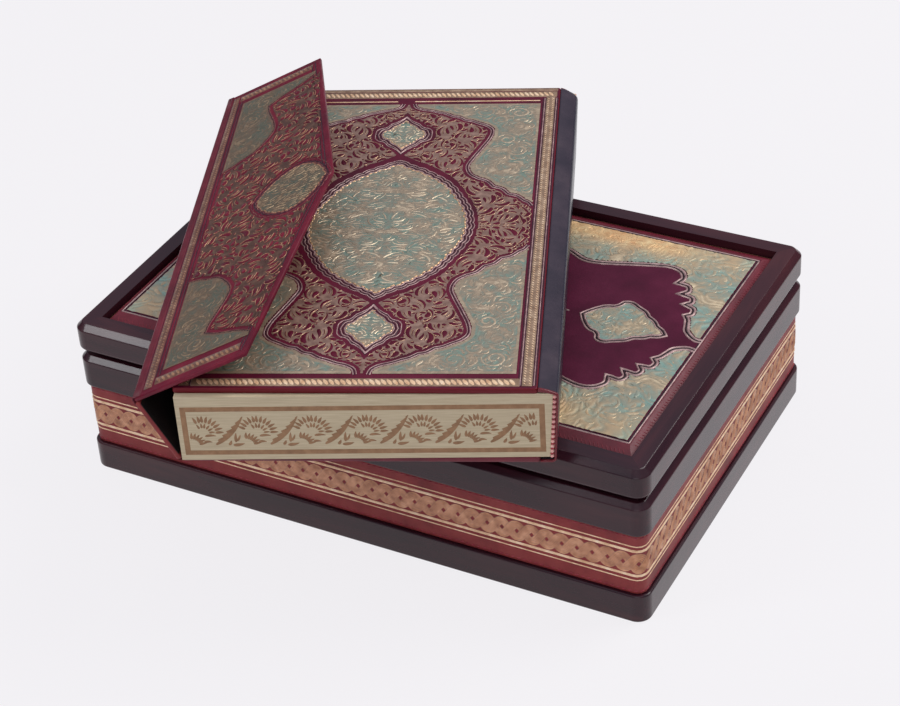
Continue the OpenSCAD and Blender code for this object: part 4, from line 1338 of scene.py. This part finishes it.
def feather(u):
    """A diagonal leaf with a smooth lower side and a stepped upper side."""
    t = np.linspace(0, 1, 60)
    bow = 0.9 * np.sin(math.pi * t)
    path = np.stack([u + 14.7 * t + bow, LEAF_LOW + 17.3 * t - bow], 1)
    side = sides_of(path)
    swell = np.sin(math.pi * np.clip(t, 0.01, 1) ** 0.72) ** 0.75
    steps = 0.4 + 0.6 * (1 - np.mod(t * 6.2 + 0.3, 1.0))
    upper = path + side * (2.3 * swell * steps + 0.1)[:, None]
    lower = path - side * (1.35 * swell + 0.1)[:, None]
    rows = np.stack([lower, upper], 1)
    prints.grid(on_tail(rows[..., 0], rows[..., 1], PRINT_H)[::-1])


def print_stroke(u, w, heading, length, sweep, width):
    """A tapering stroke about its middle, left out where it would cross the frame."""
    start = np.array([u, w]) - length / 2 * np.array([math.cos(heading), math.sin(heading)])
    stroke = leaf_path(start, heading - sweep / 2, length, sweep, 6)
    if PRINT_LEFT + PRINT_EDGE < stroke[:, 0].min() and stroke[:, 0].max() < PRINT_RIGHT - PRINT_EDGE:
        prints.ribbon(on_tail, stroke, leaf_width(width, 6), PRINT_H, 0.0, flat=True)


def fan(u, w, first, last, count, radius, length, width):
    """A spray of strokes that stand on an arc about a point."""
    for angle in np.radians(np.linspace(first, last, count)):
        bend = 0.35 if angle > math.pi / 2 else -0.35
        print_stroke(u + radius * math.cos(angle), w + radius * math.sin(angle), angle, length, bend, width)


# Sprays and strokes of one repeat, placed from the foot of its diagonal leaf
PRINT_FANS = (
    (21.3, 7.4, 160, 0, 12, 8.4, 4.1, 1.5),
    (21.3, 7.2, 120, 4, 6, 4.6, 3.0, 1.15),
    (14.9, -0.4, 84, 10, 6, 6.0, 4.0, 1.45),
)
PRINT_AFTER = ((25.0, 5.0, -0.1, 5.6, -0.7, 1.5), (23.4, 1.5, -0.15, 4.0, -0.6, 1.4))
PRINT_BESIDE = (
    (7.0, 1.2, 1.2, 3.2, 0.5, 1.5), (10.4, 4.4, 1.45, 5.8, -0.3, 1.5), (11.4, 4.2, 1.2, 4.4, 0.5, 1.2),
    (11.4, 0.4, 0.25, 5.8, 0.4, 1.9),
)
for i in range(-1, 6):
    leaf_u = FIRST_LEAF + i * PRINT_PITCH
    for u, w, *form in PRINT_FANS:
        fan(leaf_u + u, LEAF_LOW + w, *form)
    for u, w, *form in PRINT_AFTER + (PRINT_BESIDE if i >= 0 else ()):
        print_stroke(leaf_u + u, LEAF_LOW + w, *form)
    if i >= 0:
        feather(leaf_u)
prints.make("page_edge_print", PRINT_BROWN, "book")


# Lid

LID_FIELD = outline(
    [(149.0, 5), (145, 5), (140, 9), (138, 14), (136.4, 18.5), (134, 21.5)],
    [(136.4, 24.4), (135.2, 29.4), (130, 31)],
    [(132.2, 34.2), (130.4, 38.4), (124.3, 39)],
    [(126.6, 42.8), (124.4, 47.2), (118.2, 47.5)],
    [(119.4, 53), (115, 59), (107, 61), (95, 58), (84, 54.4), (70, 50), (61, 49.6), (52, 54)],
    [(46, 56.6), (43, 62)],
    [(36, 65.5), (32, 73)],
    [(25, 80), (22, 91.6)],
)
LID_SPANDREL = turned_left(np.vstack([LID_FIELD, [[149.0, 91.6]]]))
LID_PENDANT = mirrored_half(outline(
    [(81.6, 0), (85.4, 6.0), (90.4, 11.4), (95, 13.2)],
    [(97, 15.4), (98.6, 18.8), (103, 19.8), (108, 17.2)],
    [(113, 14.6), (116.4, 10.8)],
    [(121, 8.4), (124, 5.2)],
    [(128, 3.2), (131, 0)],
))
LID_MEDALLION = scalloped(mirrored_loop(outline(
    [(0, 40.5), (14, 38.6), (29, 31.5), (41, 19.5), (48, 8), (54, 0)],
)), 8.0, 1.2)


def lid_warm(x, y):
    """Golden glow of the foil near the long borders."""
    near = np.clip((np.abs(y) - 54) / 26, 0, 1)
    inward = np.clip((128 - np.abs(x)) / 30, 0, 1)
    return 0.92 * near * near * (0.25 + 0.75 * inward)


def on_field(a, b, h):
    """Places the lid's ornament, which sits towards the back and reaches the same border all round."""
    a, b, h = arrays(a, b, h)
    back = 5.4 - 4.4 * np.clip((np.abs(a) - 118) / 31, 0, 1)
    outer = np.clip((np.abs(b) - 61) / 30.6, 0, 1)
    reach = a * 1.006 + np.sign(a) * 1.5 * np.clip((np.abs(a) - 138) / 10, 0, 1)
    return on_lid(reach, b + back * (1 - outer) - np.sign(b) * 2.0 * outer, h)


def lid_rect(x, y):
    """A rectangle on the lid with barely eased corners."""
    return rounded_rect(2 * x, 2 * y, 0.2, 2)


field = Shape()
gx, gy = np.meshgrid(np.linspace(-FIELD_X, FIELD_X, 90), np.linspace(-FIELD_Y, FIELD_Y, 60), indexing="ij")
field.grid(on_lid(gx, gy, 0.08 * (Noise(91)(gx / 22 + 50, gy / 22 + 50) - 0.6)))
field.make("lid_field_leather", PLUM_LEATHER, "lid", ("lid_leather",))

foil_panel(
    "lid_corner_relief", LID_FOIL, "lid", "lid_corner_onlays", on_field, offset(LID_SPANDREL, 1.2),
    scrolls((20, 4), (150, 93), within(LID_SPANDREL, 3.6), 102, (9.0,),
            [(12.0, 2.2, 2.0), (8.5, 1.8, 1.8), (6.0, 1.5, 1.5), (4.0, 1.1, 1.2)], 1.9, 0.5, 520),
    ALL_FOUR, rise=0.12, floor=0.26, tint=(0.36, 0.7), warm_and_shade=lid_warm,
    step=0.7, base=0.1, depth=0.34, seed=101, scale=13.0,
)
foil_panel("lid_medallion_relief", LID_FOIL, "lid", "lid_medallion", on_field, offset(LID_MEDALLION, 0.8),
           step=0.7, base=0.1, depth=0.4, seed=111, scale=11.0)
foil_panel(
    "lid_pendant_relief", LID_FOIL, "lid", "lid_pendants", on_field, offset(LID_PENDANT, 1.6),
    wisps((78, -20), (131, 20), within(LID_PENDANT, 3.4), 122, [(6.5, 1.1), (4.5, 0.9)], 0.9, 300, 0.8, 1.8),
    SIDES, rise=0.14, floor=0.2, tint=(0.35, 0.8), step=0.55, base=0.1, depth=0.24, seed=121, scale=8.0,
)

RULE_X = 151.5
RULE_Y = 89.75
RULE_GAP = 0.8
lid_lines = Shape()
contour(lid_lines, on_field, LID_FIELD, ((-0.6, 1.5), (1.7, 1.2)), 0.5, signs=ALL_FOUR, closed=False)
contour(lid_lines, on_field, LID_PENDANT, ((-0.6, 1.1), (1.5, 1.2)), 0.5, signs=SIDES)
contour(lid_lines, on_field, LID_MEDALLION, ((0.0, 1.1),), 0.7)
contour(lid_lines, on_field, LID_MEDALLION, ((-2.0, 0.8),), 0.5)
for sign in (1, -1):
    finial = straight((sign * 71.8, 0.0), (sign * 74.6, 0.0), 0.7)
    lid_lines.ribbon(on_field, finial, 1.5 * np.sin(np.linspace(0.3, 2.84, len(finial))), 0.5)
lid_lines.ribbon(on_lid, lid_rect(RULE_X, RULE_Y), 0.95, 0.5, closed=True)
lid_lines.make("lid_lines", LINE_GILT, "lid")

lid_grooves = Shape()
lid_grooves.ribbon(on_lid, lid_rect(RULE_X - RULE_GAP, RULE_Y - RULE_GAP), 0.6, 0.16, closed=True, flat=True)
contour(lid_grooves, on_field, LID_FIELD, ((0.55, 0.7),), 0.2, signs=ALL_FOUR, closed=False, flat=True)
contour(lid_grooves, on_field, LID_PENDANT, ((0.45, 0.7),), 0.2, signs=SIDES, flat=True)
lid_grooves.make("lid_grooves", DOUBLURE, "lid")

# Shares of the edging's width and its drop below the panel
EDGING_SLOPE = (
    (0.0, 0.4), (0.0, -0.25), (0.04, -0.45), (0.1, -0.4), (0.3, 0.55),
    (0.5, 1.5), (0.75, 2.7), (0.95, 3.7), (1.0, 4.2),
)
edging_loops = []
for out, drop in EDGING_SLOPE:
    ring = lid_rect(FIELD_X + out * (OPEN_X - FIELD_X), FIELD_Y + out * (OPEN_Y - FIELD_Y))
    edging_loops.append(on_lid(*ring.T, -drop))
edging = Shape()
edging.grid(np.stack(edging_loops)[::-1], across=True)
edging.make("lid_edging_leather", EDGE_LEATHER, "lid", ("lid_edging",))

edging_stitches = Shape()
EDGING_RUNS = ((X, -Y, FIELD_X, FIELD_Y, OPEN_Y), (Y, X, FIELD_Y, FIELD_X, OPEN_X))
for along, aside, reach, inner, outer in EDGING_RUNS:
    fall = (PANEL_Z - EDGING_Z) / (outer - inner)
    slope = math.sqrt(1 + fall * fall)
    length = (outer - inner) / 2
    for sign in (1, -1):
        down = (sign * aside - fall * Z) / slope
        start = sign * aside * (inner + outer) / 2 + Z * (PANEL_Z + EDGING_Z) / 2
        strip = plane(start, sign * along, down, (fall * sign * aside + Z) / slope)
        row_of(edging_stitches, strip, (-reach, -0.6), (reach, -0.6), 2.3, length, 0.7, 0.35, 1.0, 0.2)
edging_stitches.make("lid_edging_stitches", EDGE_THREAD, "lid")


# Leather band round the box

def band_strip(shape, t, middle, rows, aside=0.0, up=1.0):
    """A closed strip round the band from rows of a shift across it and a height."""
    strands = [on_band(t + aside * shift, middle + up * shift, height) for shift, height in rows]
    shape.grid(np.stack(strands, 1), around=True)


rounds = np.linspace(0, BAND_ROUND, 420, endpoint=False)
levels = (0.02, 0.5, 2.0, 6.0, 12.0, 19.5, 27.0, 33.0, 37.0, 38.5, 38.98)
bulge = [-0.5, -0.05] + [0.0] * 7 + [-0.05, -0.5]
band = Shape()
band_strip(band, rounds, 0.0, zip(levels, bulge))
band.make("band_leather_wrap", BAND_LEATHER, "box", ("leather_band",))

BRAID_MID = 20.25
BRAID_WAVES = 65
BRAID_SWING = 4.25
STRAND_PITCH = 0.98
STRAND = ((-0.42, -0.02), (0.0, 0.16), (0.42, -0.02))
STRAND_BED = ((-2.55, -0.12), (-2.4, 0.0), (2.4, 0.0), (2.55, -0.12))
wave_length = BAND_ROUND / BRAID_WAVES
strand_t = np.linspace(0, BAND_ROUND, BRAID_WAVES * 18, endpoint=False)
theta = strand_t / wave_length * 2 * math.pi
braid = Shape()
braid_ground = Shape()
for sign in (1, -1):
    middle = BRAID_MID + sign * BRAID_SWING * np.sin(theta)
    slope = sign * BRAID_SWING * 2 * math.pi / wave_length * np.cos(theta)
    aside = -slope / np.sqrt(1 + slope ** 2)
    up = 1 / np.sqrt(1 + slope ** 2)
    over = 0.12 + 0.12 * sign * np.cos(theta)
    for k in range(-2, 3):
        strand = [(k * STRAND_PITCH + shift, over + rise) for shift, rise in STRAND]
        band_strip(braid, strand_t, middle, strand, aside, up)
    bed = [(shift, np.maximum(over + rise, -0.1)) for shift, rise in STRAND_BED]
    band_strip(braid_ground, strand_t, middle, bed, aside, up)
braid.make("band_braid", BRAID_GILT, "box")
braid_ground.make("band_braid_ground", ARABESQUE, "box")

band_lines = Shape()
for z, width, height in ((9.3, 0.7, 0.25), (12.3, 1.7, 0.4), (28.2, 1.7, 0.4), (31.2, 0.7, 0.25)):
    section = ((-0.5, -0.05), (-0.3, 0.8), (0.3, 0.8), (0.5, -0.05))
    band_strip(band_lines, rounds, z, [(shift * width, rise * height) for shift, rise in section])
band_lines.make("band_gold_lines", BRIGHT_GILT, "box")

STITCH_PITCH = 3.3
stitch_count = int(BAND_ROUND // STITCH_PITCH)
stitch = np.stack([np.linspace(-1.1, 1.1, 4), np.linspace(-0.25, 0.25, 4)], 1)
band_stitches = Shape()
for z in (2.2, 36.9):
    for i in range(stitch_count):
        path = stitch + [(i + 0.5) * BAND_ROUND / stitch_count, z]
        band_stitches.ribbon(on_band, path, (0.4, 0.75, 0.75, 0.4), (0.12, 0.42, 0.42, 0.12))
band_stitches.make("band_stitches", CRIMSON_THREAD, "box")


# Stage, lights and camera

FLOOR_R = 8.0
EVEN_SHARE = 0.92
LAMP_TARGET = Vector((0.0, 0.0, 0.08))
LAMPS = (
    ("key_softbox", (0.9, 0.84, 1.6), 1.0, 21.5, (1.0, 0.98, 0.96)),
    ("front_softbox", (0.75, -1.75, 1.1), 1.2, 5.0, (0.98, 0.98, 1.0)),
    ("left_softbox", (-1.08, -1.25, 1.42), 0.62, 8.5, (0.97, 0.98, 1.0)),
)


def stage_paper(name):
    """Pale paper. Lamps and the object's shadow show on it, over an even tone that mirrors see too."""
    s = Surface(name)
    tone = s.noise(3.0, 2.0)
    colour = s.ramp(tone, (0.3, (240, 239, 241)), (0.7, (244, 243, 245)))
    s.done(colour, s.spread(tone, 0.9, 1.0), specular=0.0)
    even = s.node("ShaderNodeEmission", {"Color": (244, 242, 245)})
    path = s.node("ShaderNodeLightPath").outputs
    seen = s.math("MAXIMUM", path["Is Camera Ray"], path["Is Glossy Ray"])
    seen = s.math("MAXIMUM", seen, path["Is Transmission Ray"])
    share = s.math("MULTIPLY", seen, EVEN_SHARE)
    mixed = s.node("ShaderNodeMixShader", {0: share, 1: s.shader.outputs[0], 2: even.outputs[0]})
    s.feed(s.tree.nodes["Material Output"], {"Surface": mixed.outputs[0]})
    return s.material


def stage_floor():
    """A wide pale floor, which keeps the object's shadow."""
    mesh = bpy.data.meshes.new("stage_floor")
    ring = FLOOR_R * unit(np.linspace(0, 2 * math.pi, 64, endpoint=False))
    mesh.from_pydata([(x, y, 0.0) for x, y in ring], [], [tuple(range(len(ring)))])
    mesh.materials.append(stage_paper("stage_paper"))
    placed("stage_floor", mesh)


def area_light(name, place, size, power, colour):
    """A soft square lamp aimed at the object."""
    data = bpy.data.lights.new(name, "AREA")
    data.size = size
    data.energy = power
    data.color = colour
    lamp = placed(name, data)
    lamp.location = place
    lamp.rotation_euler = (LAMP_TARGET - Vector(place)).to_track_quat("-Z", "Y").to_euler()


def studio_world():
    """A soft bright ceiling that falls off towards the walls."""
    world = bpy.data.worlds.new("studio")
    bpy.context.scene.world = world
    world.use_nodes = True
    tree = world.node_tree
    spot = tree.nodes.new("ShaderNodeTexCoord")
    parts = tree.nodes.new("ShaderNodeSeparateXYZ")
    fall = tree.nodes.new("ShaderNodeValToRGB")
    wall, ceiling = fall.color_ramp.elements
    wall.position = 0.22
    wall.color = (0.09, 0.095, 0.13, 1.0)
    ceiling.position = 0.95
    ceiling.color = (0.7, 0.72, 0.82, 1.0)
    tree.links.new(spot.outputs["Generated"], parts.inputs[0])
    tree.links.new(parts.outputs["Z"], fall.inputs["Fac"])
    tree.links.new(fall.outputs["Color"], tree.nodes["Background"].inputs["Color"])


def photo_camera():
    """The camera that took the photograph, solved from the box's edges."""
    data = bpy.data.cameras.new("photo_camera")
    data.lens = 93.0
    data.sensor_width = 36.0
    data.sensor_fit = "HORIZONTAL"
    data.clip_end = 50.0
    camera = placed("photo_camera", data)
    right = np.array([0.88828, 0.45617, -0.05363])
    down = np.array([0.22445, -0.53298, -0.81582])
    forward = np.cross(right, down)
    turn = Matrix(np.stack([right, -down, -forward], 1).tolist()).to_4x4()
    camera.matrix_world = Matrix.Translation((0.52549, -0.93006, 0.80291)) @ turn
    bpy.context.scene.camera = camera


stage_floor()
studio_world()
for lamp_values in LAMPS:
    area_light(*lamp_values)
photo_camera()
bpy.context.scene.view_settings.view_transform = "Standard"
